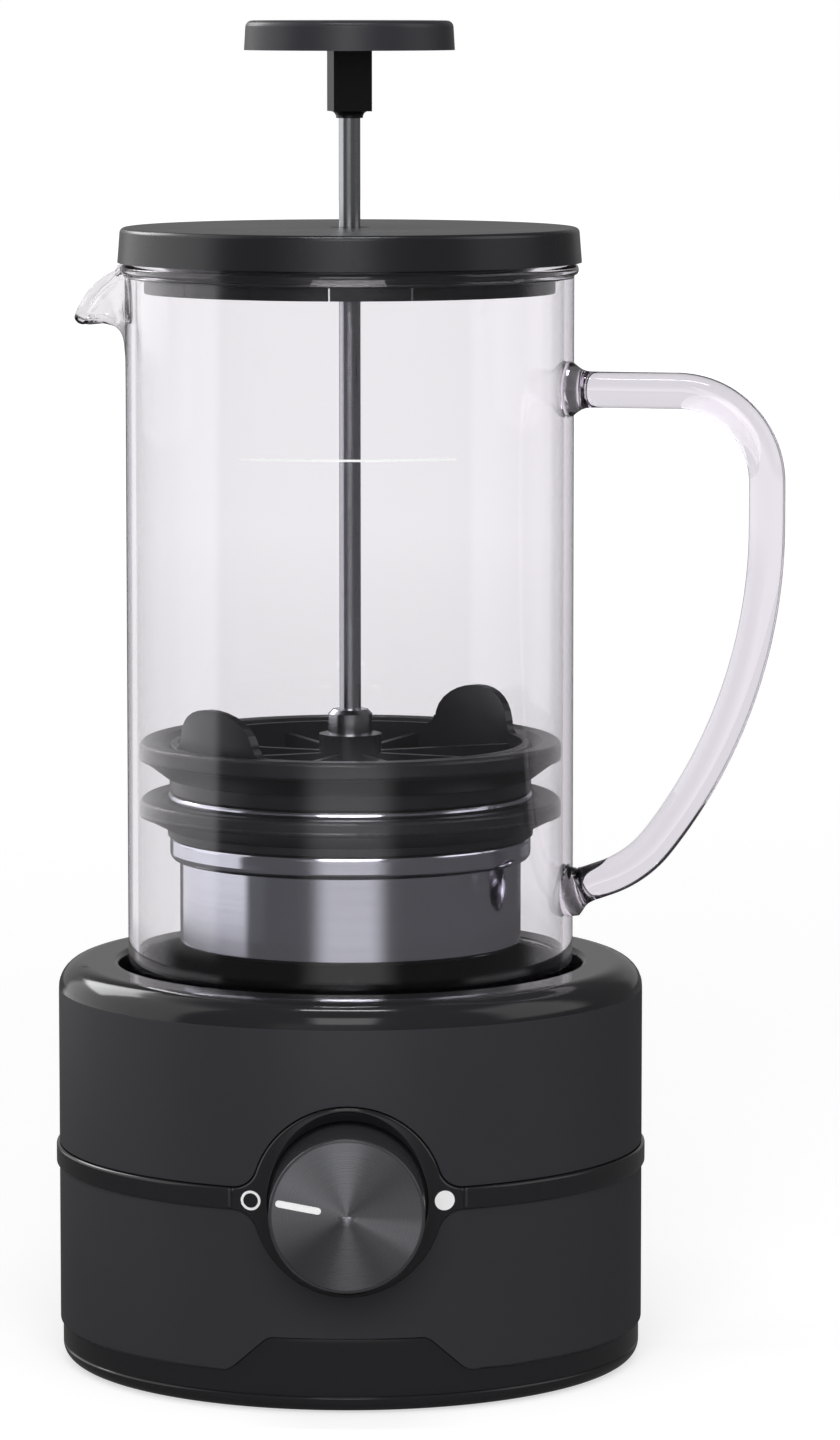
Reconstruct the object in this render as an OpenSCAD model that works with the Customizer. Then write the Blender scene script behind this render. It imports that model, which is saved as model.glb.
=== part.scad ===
// Cold brew coffee maker: a motorised base with a control knob, a glass carafe that stands in its well,
// and a plunger that carries a steel filter basket. A magnet under the well drives a stirrer in the carafe.
// Millimetres. The origin is on the table under the base's axis, +Z is up and the knob faces -Y.

/* [Base] */
// Width of the shoulder, from the well's mouth to the outside of the housings
shoulder_w = 13.7; // [12.5:0.1:24]
// Height of the ring round the well
base_h = 90.5; // [88.5:0.5:104]
// Wall of the housings
housing_wall = 2.6; // [2:0.1:3.2]
// Radius of the rounded shoulder
shoulder_r = 6; // [3:0.5:7]
// Radius of the lip round the well's mouth
lip_r = 1.4; // [0.6:0.1:2]
// Height of the plinth's upper edge
plinth_h = 9; // [8:0.5:13]
// Radius of the plinth's lower edge
plinth_r = 3.3; // [2:0.1:5]
// How far the feet lift the plinth off the table
foot_gap = 0.6; // [0.4:0.1:2]
// Diameter of a rubber foot
foot_d = 12; // [8:0.5:16]

/* [Front tab] */
// Height of the tab's upper edge
tab_h = 17.1; // [13:0.1:22]
// Width of the tab along its upper edge
tab_top_w = 34.8; // [28:0.2:44]
// Width of the tab where it meets the plinth
tab_foot_w = 52.4; // [46:0.2:60]
// Radius of the tab's upper corners
tab_corner = 3.7; // [1:0.1:5]
// Radius of the coves at the tab's foot
tab_cove = 5.9; // [2:0.1:8]
// How far the plinth and its tab lie behind the housing
plinth_inset = 0.6; // [0.3:0.1:1.2]

/* [Waist belt and bezel] */
// Height of the dark gap between the belt and the upper housing
shadow_gap = 0.3; // [0.1:0.05:0.6]
// Height of the belt's and the knob's centre line
waist_z = 47.1; // [46:0.1:48]
// Height of the belt
belt_h = 4.8; // [3:0.1:7]
// How far the belt and the bezel stand out of the housing
belt_proud = 0.7; // [0.4:0.1:1.5]
// Diameter of the round bezel
bezel_d = 41.6; // [40:0.2:44]
// Radius of the belt's outer edges
belt_edge = 0.6; // [0.3:0.1:1]
// Radius of the coves between the belt and the bezel
bezel_cove = 5.5; // [3:0.1:8]
// Distance of the on and off marks from the knob's axis
mark_x = 21; // [20.5:0.1:24]
// Diameter of a mark
mark_d = 4.3; // [3:0.1:5]

/* [Control knob] */
// Diameter of the knob
knob_d = 33.6; // [28:0.2:34.4]
// How far the knob's face stands out of the housing
knob_reach = 16; // [12:0.5:20]
// Wall of the knob
knob_wall = 1.8; // [1.2:0.1:2.4]
// Angle of the pointer above level when the knob is off
pointer_rise = 10.9; // [0:0.1:20]
// Length of the pointer line
pointer_l = 9.9; // [6:0.1:11]
// Width of the pointer line
pointer_w = 1.5; // [1:0.1:2.5]
// Diameter of the switch shaft
shaft_d = 6; // [5:0.1:6.6]

/* [Well] */
// Gap between the carafe and the well's wall
well_gap = 2; // [1:0.1:3]
// Wall of the well
well_wall = 2; // [1.5:0.1:2.2]
// Height of the well's floor
well_z = 56; // [55.5:0.5:62]
// Thickness of the pad on the well's floor
pad_t = 1.2; // [0.8:0.1:2]

/* [Motor and drive] */
// Diameter of the motor can
motor_d = 35; // [28:0.5:38]
// Length of the motor can
motor_l = 29; // [24:0.5:30]
// Diameter of the motor shaft
motor_shaft_d = 3.2; // [2.4:0.1:4]
// Diameter of the magnet carrier
carrier_d = 48; // [44:0.5:54]
// Diameter of a drive magnet
magnet_d = 12; // [8:0.5:13]
// Height of a magnet
magnet_h = 3; // [2:0.1:3.2]
// Distance between the two magnets' axes
magnet_pitch = 30; // [26:0.5:31]

/* [Glass carafe] */
// Outer diameter of the glass
glass_d = 100; // [96:0.2:104]
// Wall of the glass
glass_wall = 2.2; // [1.8:0.1:2.6]
// Height of the glass
glass_h = 189.3; // [175:0.5:215]
// Thickness of the glass floor
glass_floor = 2.4; // [2:0.1:4]
// Outer radius where the floor meets the wall
glass_corner = 5; // [3.5:0.1:8]
// How far the rim bead stands out
bead_out = 1; // [0.5:0.1:1.4]
// Height of the rim bead
bead_h = 2.6; // [2:0.1:4]
// Height of the fill line above the carafe's underside
fill_h = 148.9; // [110:0.1:160]
// Angle of the fill line each side of the front
fill_angle = 28; // [15:1:60]

/* [Spout] */
// How far the spout's tip stands out of the glass
spout_reach = 13.7; // [9:0.1:18]
// Drop of the spout's tip below the rim
spout_drop = 13.7; // [10:0.1:16]
// Width of the spout where it leaves the glass
spout_w = 25; // [18:0.5:30]
// Radius of the spout at its tip
spout_tip_r = 3; // [2.8:0.1:4]
// Wall of the spout
spout_wall = 1.6; // [1.2:0.1:2.2]

/* [Handle] */
// Diameter of the glass rod
handle_d = 8; // [6.5:0.1:9]
// Diameter of the welded roots
handle_root_d = 12.6; // [10:0.1:15]
// Angle of the handle and the spout from the knob's left and right
handle_yaw = 14; // [0:1:30]
// Height of the upper root above the carafe's underside
handle_top = 162; // [150:0.1:168]
// Reach of the upper run before it bends
handle_run = 24.8; // [18:0.1:30]
// Radius of the upper bend
handle_bend = 20; // [14:0.5:26]
// Length of the upright run below the upper bend
handle_upright = 9.5; // [0:0.5:20]
// Radius of the long sweep
handle_sweep = 115; // [100:5:150]
// Radius of the lower bend
handle_tuck = 26; // [20:1:34]
// Angle of the lower run from upright
handle_lean = 70; // [60:1:80]

/* [Lid] */
// How far the lid's lower edge stands out past the glass wall
lid_over = 1.7; // [1.3:0.1:4]
// Height of the lid
lid_h = 7.7; // [6.5:0.1:12]
// How much narrower the lid is at the top, each side
lid_draft = 0.6; // [0:0.1:2]
// Radius of the lid's upper edge
lid_edge = 1.1; // [0.8:0.1:2.2]
// Wall of the lid
lid_wall = 2.2; // [1.6:0.1:2.6]
// Depth of the slotted skirt below the rim of the glass
skirt_depth = 6.3; // [5:0.1:12]
// Gap between the skirt and the glass
skirt_gap = 2; // [1.2:0.1:3]
// Number of slots in the skirt
slot_count = 16; // [8:1:24]

/* [Plunger] */
// Diameter of the rod
rod_d = 4.8; // [4:0.1:6]
// Length of the rod between the stem and the ferrule
rod_free = 131.9; // [110:0.1:150]
// Gap between the stem and the lid, as the plunger stands
stem_rise = 24.2; // [10:0.1:40]
// Length of the stem
stem_l = 15; // [10:0.1:22]
// Width of the square stem
stem_w = 8.6; // [8:0.1:12]
// Turn of the stem
stem_yaw = 10.8; // [-45:0.1:45]
// Diameter of the plunger knob
grip_d = 46.8; // [38:0.2:56]
// Height of the plunger knob
grip_h = 6.5; // [5.6:0.1:10]
// Radius of the plunger knob's upper edge
grip_edge = 1.5; // [1:0.1:3]
// Diameter of the ferrule
ferrule_d = 9.9; // [8.8:0.1:12]
// Height of the ferrule
ferrule_h = 5.5; // [4:0.1:8]

/* [Filter] */
// Width of the lip seals, from the cup's wall to the glass
seal_w = 9.5; // [8.5:0.1:12]
// Height of the cup from its floor to its rolled rim
cup_h = 34.3; // [32:0.1:44]
// Height of the cup below its bead
cup_wall_h = 19; // [15:0.1:20]
// Height of the polished bead
cup_bead_h = 5.5; // [5:0.1:6.5]
// How far the bead stands out of the cup
cup_bead_out = 2.2; // [2:0.1:2.6]
// Sheet thickness of the cup
cup_t = 0.6; // [0.4:0.1:0.8]
// How far the rolled rim stands out of the cup
cup_rim_out = 2.7; // [2.4:0.1:4]
// How far the cover stands out of the cup's rim
cover_out = 0.2; // [0.1:0.1:0.8]
// Height of the cover above the cup's rim
cover_h = 10.7; // [8:0.1:13]
// Wall of the cover
cover_wall = 2.6; // [2:0.1:3.2]
// Height of the finger wings above the cover
wing_h = 9.8; // [6:0.1:12]
// Width of a finger wing
wing_w = 25; // [16:0.5:28]
// Angle of the finger wings round the cover
wing_angle = 41; // [0:1:90]
// Gap between the lip seals and the glass
seal_gap = 0.4; // [0.35:0.05:0.8]
// Number of ribs in the cover
rib_count = 8; // [5:1:12]
// Turn that locks the cup on the cover
bayonet_turn = 30; // [25:1:35]

/* [Stirrer] */
// Diameter of the stirrer
stirrer_d = 42; // [41:0.5:52]
// Height of the stirrer
stirrer_h = 8.4; // [7:0.1:8.8]
// Number of blades
blade_count = 6; // [4:1:10]

/* [Clearances] */
// Gap between pieces that lift or turn past each other
lift_gap = 0.3; // [0.25:0.05:0.5]
// Gap round a running shaft
run_gap = 0.05; // [0.03:0.01:0.1]
// Gap round a piece that is fixed in its seat
seat_gap = 0.05; // [0.02:0.01:0.1]

/* [Hidden] */
$fn = 96;
eps = 0.01;

// Colours
satin_black = "#3a3a3e";
gloss_black = "#17171a";
rubber_black = "#26262a";
inner_black = "#2c2c30";
steel = "#b9bcc0";
zinc = "#8f9398";
glass_tint = "#dfe6ea";
white_ink = "#f2f2f2";
copper = "#b8733a";
board_green = "#2c6b46";

// Base
well_r = glass_d / 2 + well_gap;
base_r = well_r + shoulder_w;
housing_ir = base_r - housing_wall;
belt_r = base_r + belt_proud;
belt_lo = waist_z - belt_h / 2;
belt_hi = waist_z + belt_h / 2;
plinth_or = base_r - plinth_inset;
plinth_ir = housing_ir - 3.2;
seam_w = 0.3;
plinth_lip = 2.6;
plate_t = 2.6;
plate_z = foot_gap + 0.8;
plate_top = plate_z + plate_t;
foot_h = plate_z + 1;
foot_place = plinth_ir - foot_d / 2 - 2;
housing_lo = plinth_h;
housing_foot_r = 0.5;
gap_depth = 1.2;
boss_d = 8;
boss_place = housing_ir - 8;
boss_lo = plate_top + plinth_lip;
boss_h = 18;
screw_d = 3;
screw_head_d = 5.8;
screw_head_h = 1.8;
screw_l = 14;
pan_d = 5.6;
pan_h = 1.6;
well_under = well_z - well_wall;
flange_out = 6;
flange_t = 2.4;
ring_t = housing_wall;
well_top = base_h - ring_t - seat_gap;

// Knob and switch
knob_r = knob_d / 2;
bezel_r = bezel_d / 2;
pocket_r = knob_r + 0.7;
pocket_wall = 1.4;
pocket_y = -(base_r - 2.8);
pocket_t = 1.5;
face_y = -(base_r + knob_reach);
knob_back_y = pocket_y - 1.1;
cap_t = 0.8;
cap_r = knob_r - 0.7;
pointer_h = 0.4;
pointer_sink = 0.3;
dial_lip = bezel_r - 0.7;
switch_w = 24;
switch_lo = 14;
switch_hi = min(6, well_under - waist_z - 0.5);
switch_y = pocket_y + pocket_t;
switch_l = 14;
bush_d = shaft_d + 3;
nut_t = 2;
nut_d = bush_d + 5;

// Motor and drive
carrier_gap = 1.2;
carrier_hi = well_under - carrier_gap;
carrier_h = magnet_h + 1.2;
carrier_lo = carrier_hi - carrier_h;
bracket_t = 2;
bracket_hi = carrier_lo - 2.6;
bracket_lo = bracket_hi - bracket_t;
can_hi = bracket_lo;
can_lo = can_hi - motor_l;
cap_h = 4;
bracket_arm = motor_d / 2 + 15;
post_d = 8;
neck_d = motor_shaft_d + 6;

// Board
board_w = 44;
board_l = 24;
board_t = 1.6;
board_y = max(motor_d / 2 + 6, plinth_ir - 36.4);
board_z = plate_top + 8;
board_post = 5;
cord_z = 20;
cord_bore = 6.4;
cord_neck = 13;

// Carafe
glass_r = glass_d / 2;
glass_ir = glass_r - glass_wall;
glass_z = well_z + pad_t + lift_gap;
floor_z = glass_z + glass_floor;
rim_z = glass_z + glass_h;
fill_z = glass_z + fill_h;
ink_t = 0.12;
ink_gap = 0.03;
ink_w = 0.5;
pivot_r = 2.5;
pivot_h = 3;

// Stirrer
stirrer_z = floor_z + lift_gap;
stirrer_disc = magnet_h + 0.8;
hub_r = 5.5;

// Lid
lid_r = glass_r + lid_over;
lid_z = rim_z + lift_gap;
lid_top = lid_z + lid_h;
skirt_r = glass_ir - skirt_gap;
skirt_t = 1.6;
skirt_z = rim_z - skirt_depth;
slot_w = 0.45;
slot_h = 3.6;
slot_turn = 5;
seat_z = lid_z + 1.6;
guide_d = rod_d + 4;
insert_boss = guide_d + 4;

// Plunger
stem_z = lid_top + stem_rise;
grip_z = stem_z + stem_l;
stem_cove = 1.3;
grip_wall = 2.2;
grip_draft = 0.3;
ferrule_top = stem_z - rod_free;
hub_z = ferrule_top - ferrule_h;
rod_sink = 6;

// Filter
rim_gap = 0.3;
hub_rise = 1.7;
cover_z = hub_z - hub_rise - cover_h;
cup_rim_z = cover_z - rim_gap;
cup_z = cup_rim_z - cup_h;
cup_r = glass_ir - seal_w;
cup_rim_r = cup_r + cup_rim_out;
bead_z = cup_z + cup_wall_h;
neck_z = bead_z + cup_bead_h;
cup_bead_r = cup_r + cup_bead_out;
seal_r = glass_ir - seal_gap;
lip_round = 0.9;
rim_roll = 1;
cover_r = cup_rim_r + cover_out;
cover_floor = 1.6;
cover_floor_z = cover_z + 0.6;
plug_r = cup_r - cup_t - 0.35;
plug_wall = 1.8;
plug_z = bead_z + 0.5;
lug_out = 1.3;
lug_h = 3.2;
lug_z = bead_z + 1.2;
lug_angle = 18;
gate_angle = lug_angle + 6;
mesh_t = 0.4;
gate_r = plug_r + lug_out + 0.3;
cup_foot = 0.8;
cup_ledge = 5;

// ---------- Helpers ----------

// What a rounding of radius r takes off the corner at [x, z]; sx and sz point out of the material
module corner(x, z, r, sx, sz)
    translate([x, z])
        difference() {
            translate([sx > 0 ? -r : -eps, sz > 0 ? -r : -eps]) square(r + eps);
            translate([-sx * r, -sz * r]) circle(r);
        }

// Points along an arc round [cx, cz], from angle a0 to a1 in n steps
function arc(cx, cz, r, a0, a1, n = 6) =
    [for (i = [0 : n]) let (a = a0 + (a1 - a0) * i / n) [cx + r * cos(a), cz + r * sin(a)]];

// Rectangle from [x0, z0] to [x1, z1]
module box2(x0, x1, z0, z1) translate([x0, z0]) square([x1 - x0, z1 - z0]);

// Ring between two radii
module ring(ro, ri, z0, z1) rotate_extrude() box2(ri, ro, z0, z1);

// Sector of a ring, centred on an angle
module sector(ro, ri, z0, z1, middle, width)
    rotate(middle - width / 2) rotate_extrude(angle = width) box2(ri, ro, z0, z1);

// Turns a body drawn along +Z so that it points out of the front, centred on the knob's axis
module on_knob_axis() translate([0, 0, waist_z]) rotate([90, 0, 0]) children();

// Cylinder along the knob's axis between two y values, y0 the nearer to the front
module knob_cyl(d, y0, y1) on_knob_axis() translate([0, 0, -y1]) cylinder(d = d, h = y1 - y0);

// Places children at four points round the axis, the first at angle a0
module corners(r, a0 = 45) for (a = [a0 : 90 : a0 + 270]) rotate(a) translate([r, 0, 0]) children();

// Screw with a round head, pointing up from the head's underside at z = 0
module screw(d, head_d, head_h, l) {
    difference() {
        cylinder(d = head_d, h = head_h);
        translate([-head_d / 2, -0.4, -eps]) cube([head_d, 0.8, head_h * 0.45]);
    }
    translate([0, 0, head_h - eps]) cylinder(d = d, h = l + eps);
}

// Round tube swept along points p; radii gives one radius a point, up is a direction that p never follows
module sweep(p, radii, up, sides = 8) {
    last = len(p) - 1;
    rings = [for (i = [0 : last])
        let (t = p[min(i + 1, last)] - p[max(i - 1, 0)], u = cross(t, up), v = cross(t, u))
        for (j = [0 : sides - 1]) let (a = 360 * j / sides)
            p[i] + radii[i] * (cos(a) * u / norm(u) + sin(a) * v / norm(v))];
    walls = [for (i = [0 : last - 1], j = [0 : sides - 1])
        let (a = i * sides + j, b = i * sides + (j + 1) % sides)
        for (f = [[a, b, b + sides], [a, b + sides, a + sides]]) f];
    polyhedron(rings, concat(walls, [[for (j = [sides - 1 : -1 : 0]) j],
        [for (j = [0 : sides - 1]) last * sides + j]]));
}

// Wire of diameter d laid through a list of points
module wire(p, d, up = [0, 0, 1]) sweep(p, [for (q = p) d / 2], up, 8);

// ---------- Base ----------

// Outline of the bezel and its coves in the front view, grown by extra all round
function waist_points(extra) =
    let (r = bezel_r + extra, h = belt_h / 2 + extra, cove = bezel_cove - extra,
        cx = sqrt(pow(r + cove, 2) - pow(h + cove, 2)), a = atan2(h + cove, cx),
        half = concat(arc(cx, h + cove, cove, 270, 180 + a, 8), arc(0, 0, r, a, 180 - a, 30),
            arc(-cx, h + cove, cove, -a, -90, 8)))
    concat(half, [for (p = half) -p]);

// Prism through the front wall along that outline
module waist_prism(extra)
    on_knob_axis() translate([0, 0, base_r / 2]) linear_extrude(height = base_r) polygon(waist_points(extra));

module plinth() color(gloss_black)
    difference() {
        intersection() {
            rotate_extrude() plinth_profile();
            union() {
                cylinder(r = base_r, h = plinth_h);
                on_plinth_front() polygon(tab_points(0));
            }
        }
        corners(boss_place) cylinder(d = screw_d + 2 * seat_gap, h = plinth_h);
    }

// Section of the plinth, as high as the tab, with the ledge for the screws and the seam over the rounded foot
module plinth_profile()
    difference() {
        union() {
            box2(plinth_ir, plinth_or, foot_gap, plinth_h);
            box2(housing_ir, plinth_or, plinth_h - eps, tab_h + 1);
            box2(boss_place - boss_d / 2, plinth_ir + eps, plate_top, plate_top + plinth_lip);
        }
        corner(plinth_or, foot_gap, plinth_r, 1, -1);
        box2(plinth_or - seam_w, plinth_or + 1, foot_gap + plinth_r, foot_gap + plinth_r + seam_w);
    }

module on_plinth_front() rotate([90, 0, 0]) linear_extrude(height = base_r + 1) children();

// Outline of the tab, grown by extra: rounded upper corners, leaning sides and coves on the plinth's edge
function tab_points(extra) =
    let (s = atan2(tab_h - plinth_h, (tab_foot_w - tab_top_w) / 2), x0 = tab_top_w / 2 + extra * tan(s / 2),
        x1 = tab_foot_w / 2 + extra / sin(s) + tab_cove * tan(s / 2),
        side = concat(arc(x0 - tab_corner * tan(s / 2), tab_h + extra - tab_corner, tab_corner, 90, 90 - s, 5),
            arc(x1, plinth_h + tab_cove, tab_cove, 270 - s, 270, 7), [[x1, plinth_h - 1]]),
        n = len(side))
    concat(side, [for (i = [n - 1 : -1 : 0]) [-side[i].x, side[i].y]]);

module lower_housing() color(satin_black)
    difference() {
        union() {
            rotate_extrude() difference() {
                box2(housing_ir, base_r, housing_lo, belt_lo);
                corner(base_r, housing_lo, housing_foot_r, 1, -1);
            }
            corners(boss_place) {
                translate([0, 0, boss_lo]) cylinder(d = boss_d, h = boss_h);
                translate([0, -1.5, housing_lo + eps])
                    cube([housing_ir + 0.6 - boss_place, 3, boss_lo + boss_h - housing_lo - 4]);
            }
        }
        waist_prism(seat_gap);
        on_plinth_front() polygon(tab_points(seat_gap));
        corners(boss_place) translate([0, 0, boss_lo - eps]) cylinder(d = screw_d + 2 * seat_gap, h = screw_l);
        translate([0, base_r, cord_z]) rotate([90, 0, 0])
            cylinder(d = cord_neck + 2 * seat_gap, h = 4 * housing_wall, center = true);
    }

module upper_housing() color(satin_black)
    difference() {
        rotate_extrude()
            difference() {
                box2(well_r, base_r, belt_hi, base_h);
                corner(base_r, base_h, shoulder_r, 1, 1);
                corner(well_r, base_h, lip_r, -1, 1);
                box2(base_r - gap_depth, base_r + 1, belt_hi - 1, belt_hi + shadow_gap);
                difference() {
                    box2(well_r - 1, housing_ir, belt_hi - 1, base_h - ring_t);
                    corner(housing_ir, base_h - ring_t, max(0.5, shoulder_r - housing_wall), 1, 1);
                }
            }
        waist_prism(seat_gap);
        difference() {
            waist_prism(shadow_gap);
            cylinder(r = base_r - gap_depth, h = base_h);
        }
    }

module waist_belt() color(gloss_black)
    difference() {
        union() {
            rotate_extrude() difference() {
                box2(housing_ir, belt_r, belt_lo, belt_hi);
                corner(belt_r, belt_lo, belt_edge, 1, -1);
                corner(belt_r, belt_hi, belt_edge, 1, 1);
            }
            intersection() {
                cylinder(r = belt_r, h = base_h);
                waist_prism(0);
            }
        }
        difference() {
            translate([0, 0, -1]) cylinder(r = housing_ir, h = base_h);
            knob_cyl(2 * (pocket_r + pocket_wall), -belt_r, pocket_y + pocket_t);
        }
        knob_cyl(2 * pocket_r, -belt_r - 1, pocket_y);
        knob_cyl(bush_d + 2 * seat_gap, -belt_r - 1, 0);
        on_knob_axis() translate([0, 0, -pocket_y + 1.4])
            cylinder(r1 = pocket_r, r2 = dial_lip, h = belt_r + pocket_y - 1.4 + eps);
    }

module dial_marks() color(white_ink)
    intersection() {
        ring(belt_r + ink_gap + ink_t, belt_r + ink_gap, belt_lo - 2, belt_hi + 2);
        on_knob_axis() linear_extrude(height = belt_r + 1) {
            translate([mark_x, 0]) circle(d = mark_d);
            translate([-mark_x, 0]) difference() {
                circle(d = mark_d);
                circle(d = mark_d - 1.1);
            }
        }
    }

module carafe_well() color(gloss_black)
    rotate_extrude()
        difference() {
            union() {
                box2(0, well_r + well_wall, well_under, well_top);
                box2(well_r, well_r + flange_out, well_top - flange_t, well_top);
            }
            difference() {
                box2(-1, well_r, well_z, base_h);
                corner(well_r, well_z, 2, 1, -1);
            }
            corner(well_r + well_wall, well_under, 3, 1, -1);
        }

module well_pad() color(rubber_black)
    ring(glass_r - glass_corner - 2, glass_r - glass_corner - 14, well_z, well_z + pad_t);

module base_plate() color(inner_black)
    difference() {
        union() {
            translate([0, 0, plate_z]) cylinder(r = plinth_ir - 0.2, h = plate_t);
            bracket_posts();
            board_posts();
        }
        corners(foot_place, 0) foot_hole();
        corners(boss_place) translate([0, 0, plate_z - eps]) {
            cylinder(d = screw_d + 2 * seat_gap, h = plate_t + 1);
            cylinder(d = screw_head_d + 0.4, h = screw_head_h + 0.1 + eps);
        }
        foot_hole();
        for (s = [-1, 1], x = [10 : 5 : 25]) translate([s * x, 0, plate_z + plate_t / 2]) vent(2, 18);
    }

module foot_hole() translate([0, 0, plate_z - eps]) cylinder(d = foot_d + 2 * seat_gap, h = foot_h - plate_z + eps);

// Rounded slot through the base plate
module vent(w, l) {
    cube([w, l - w, 2 * plate_t], center = true);
    for (s = [-1, 1]) translate([0, s * (l - w) / 2, 0]) cylinder(d = w, h = 2 * plate_t, center = true);
}

module at_bracket_arms() for (a = [30, 150, 270]) rotate(a) translate([bracket_arm, 0, 0]) children();

module bracket_posts()
    at_bracket_arms() difference() {
        translate([0, 0, plate_top - eps]) cylinder(d = post_d, h = bracket_lo - plate_top + eps);
        translate([0, 0, bracket_lo - 8]) cylinder(d = screw_d + 2 * seat_gap, h = 8 + eps);
    }

module at_board_corners()
    for (sx = [-1, 1], y = [board_y + 3, board_y + board_l - 3])
        translate([sx * (board_w / 2 - 3), y, 0]) children();

module board_posts()
    at_board_corners() translate([0, 0, plate_top - eps]) cylinder(d = board_post, h = board_z - plate_top + eps);

module rubber_feet() color(rubber_black) {
    rubber_foot();
    corners(foot_place, 0) rubber_foot();
}

module rubber_foot()
    rotate_extrude() difference() {
        box2(0, foot_d / 2, 0, foot_h);
        corner(foot_d / 2, 0, 0.4, 1, -1);
    }

module base_screws() color(zinc)
    corners(boss_place) translate([0, 0, plate_z + 0.1])
        screw(screw_d, screw_head_d, screw_head_h, screw_l - 2);

module motor_can() color(zinc)
    difference() {
        rotate_extrude() difference() {
            union() {
                box2(0, motor_d / 2, can_lo, can_hi);
                box2(0, neck_d / 2, can_hi - eps, bracket_hi);
            }
            corner(motor_d / 2, can_hi, 1.5, 1, 1);
        }
        translate([0, 0, can_lo - 1]) cylinder(d = motor_shaft_d + 2 * run_gap, h = motor_l + 20);
        at_can_screws() translate([0, 0, can_hi - 6]) cylinder(d = screw_d + 2 * seat_gap, h = 7);
    }

module at_can_screws() for (s = [-1, 1]) translate([0, s * (motor_d / 4 + 1), 0]) children();

module motor_end_cap() color(inner_black) {
    difference() {
        translate([0, 0, can_lo - cap_h]) cylinder(d = motor_d - 1, h = cap_h);
        translate([0, 0, can_lo - 2]) cylinder(d = motor_shaft_d + 2 * run_gap, h = 3);
    }
    for (s = [-1, 1]) translate([s * 8 - 1.4, motor_d / 2 - 3, can_lo - cap_h - 2]) cube([2.8, 0.8, 2 + eps]);
}

module motor_bracket() color(zinc)
    difference() {
        translate([0, 0, bracket_lo]) {
            cylinder(d = motor_d, h = bracket_t);
            for (a = [30, 150, 270]) rotate(a) {
                translate([0, -post_d / 2, 0]) cube([bracket_arm, post_d, bracket_t]);
                translate([bracket_arm, 0, 0]) cylinder(d = post_d, h = bracket_t);
            }
        }
        translate([0, 0, bracket_lo - 1]) cylinder(d = neck_d + 2 * seat_gap, h = bracket_t + 2);
        at_bracket_arms() bracket_hole();
        at_can_screws() bracket_hole();
    }

module bracket_hole() translate([0, 0, bracket_lo - 1]) cylinder(d = screw_d + 2 * seat_gap, h = bracket_t + 2);

module bracket_screws() color(steel) {
    z = bracket_hi + pan_h;
    at_bracket_arms() translate([0, 0, z]) mirror([0, 0, 1]) screw(screw_d, pan_d, pan_h, bracket_t + 6);
    at_can_screws() translate([0, 0, z]) mirror([0, 0, 1]) screw(screw_d, pan_d, pan_h, bracket_t + 4);
}

module rotary_switch() color(inner_black)
    difference() {
        union() {
            translate([-switch_w / 2, switch_y, waist_z - switch_lo])
                cube([switch_w, switch_l, switch_lo + switch_hi]);
            knob_cyl(bush_d, pocket_y - nut_t - 1, switch_y + 1);
            for (s = [-1, 1])
                translate([s * 6 - 1.6, switch_y + switch_l - eps, waist_z - 9]) cube([3.2, 4, 0.8]);
        }
        knob_cyl(shaft_d + 2 * run_gap, -base_r - 5, switch_y + switch_l - 2);
    }

module switch_nut() color(zinc)
    difference() {
        on_knob_axis() translate([0, 0, -pocket_y + seat_gap]) cylinder(d = nut_d, h = nut_t, $fn = 6);
        knob_cyl(bush_d + 2 * seat_gap, -base_r - 5, 0);
    }

module circuit_board() color(board_green)
    difference() {
        translate([-board_w / 2, board_y, board_z]) cube([board_w, board_l, board_t]);
        translate([0, board_y + board_l / 2, board_z - 1]) cylinder(d = 4, h = board_t + 2);
    }

module board_parts() {
    z = board_z + board_t;
    color("#1d1d1f") translate([-14, board_y + 8, z]) cylinder(d = 10, h = 14);
    color("#8a6d3b") translate([-4, board_y + 2, z]) cube([14, 12, 12]);
    color("#2f7d4f") translate([12, board_y + 15, z]) cube([8, 7, 9]);
    color("#2f7d4f") translate([-20, board_y + 16, z]) cube([14, 6, 8]);
    color("#1d1d1f") translate([14, board_y + 2, z]) cube([4, 9, 12]);
}

// Pairs of leads from the board to the cord bushing, the switch and the motor
module wire_leads() color(copper) {
    d = 1.6;
    z = board_z + board_t + 9.4 + d / 2;
    side_x = -(bracket_arm + 5);
    term_y = switch_y + switch_l + 4.9;
    for (s = [-1, 1]) {
        wire([[16 + s * 2, board_y + 18, z], [14 + s * 2, board_y + 24, z + 1], [7 + s * 1.6, board_y + 30, z],
            [s * 1.4, housing_ir - 5, cord_z]], d);
        wire([[-13 + s * 4, board_y + 19, z - 0.8], [-24 + s * 3, board_y + 14, z],
            [side_x + s * 1.5, 16, z + 2], [side_x + s * 1.5, -6, z + 3], [-20 + s * 3, term_y + 8, z + 8],
            [s * 6, term_y, waist_z - 8.6]], d);
        wire([[s * 8, motor_d / 2 - 1.2, can_lo - cap_h - 1],
            [s * 8.5, motor_d / 2 + 2, can_lo - cap_h - 1], [s * 9, board_y + 1, board_z - 1.2]], d);
    }
}

module cord_bushing() color(rubber_black)
    translate([0, 0, cord_z]) rotate([-90, 0, 0])
        difference() {
            union() {
                translate([0, 0, housing_ir - 3.5]) cylinder(d = cord_neck, h = housing_wall + 5);
                translate([0, 0, housing_ir - 3.5]) cylinder(d = cord_neck + 4, h = 2.2);
                difference() {
                    translate([0, 0, base_r - 1]) cylinder(d = cord_neck + 4, h = 3);
                    rotate([90, 0, 0]) cylinder(r = base_r + seat_gap, h = 40, center = true);
                }
            }
            translate([0, 0, housing_ir - 5]) cylinder(d = cord_bore, h = housing_wall + 10);
        }

// ---------- Rotor ----------

module motor_shaft() color(steel)
    translate([0, 0, can_lo - 1.5]) cylinder(d = motor_shaft_d, h = carrier_hi - can_lo + 1.5 - 1);

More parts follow.
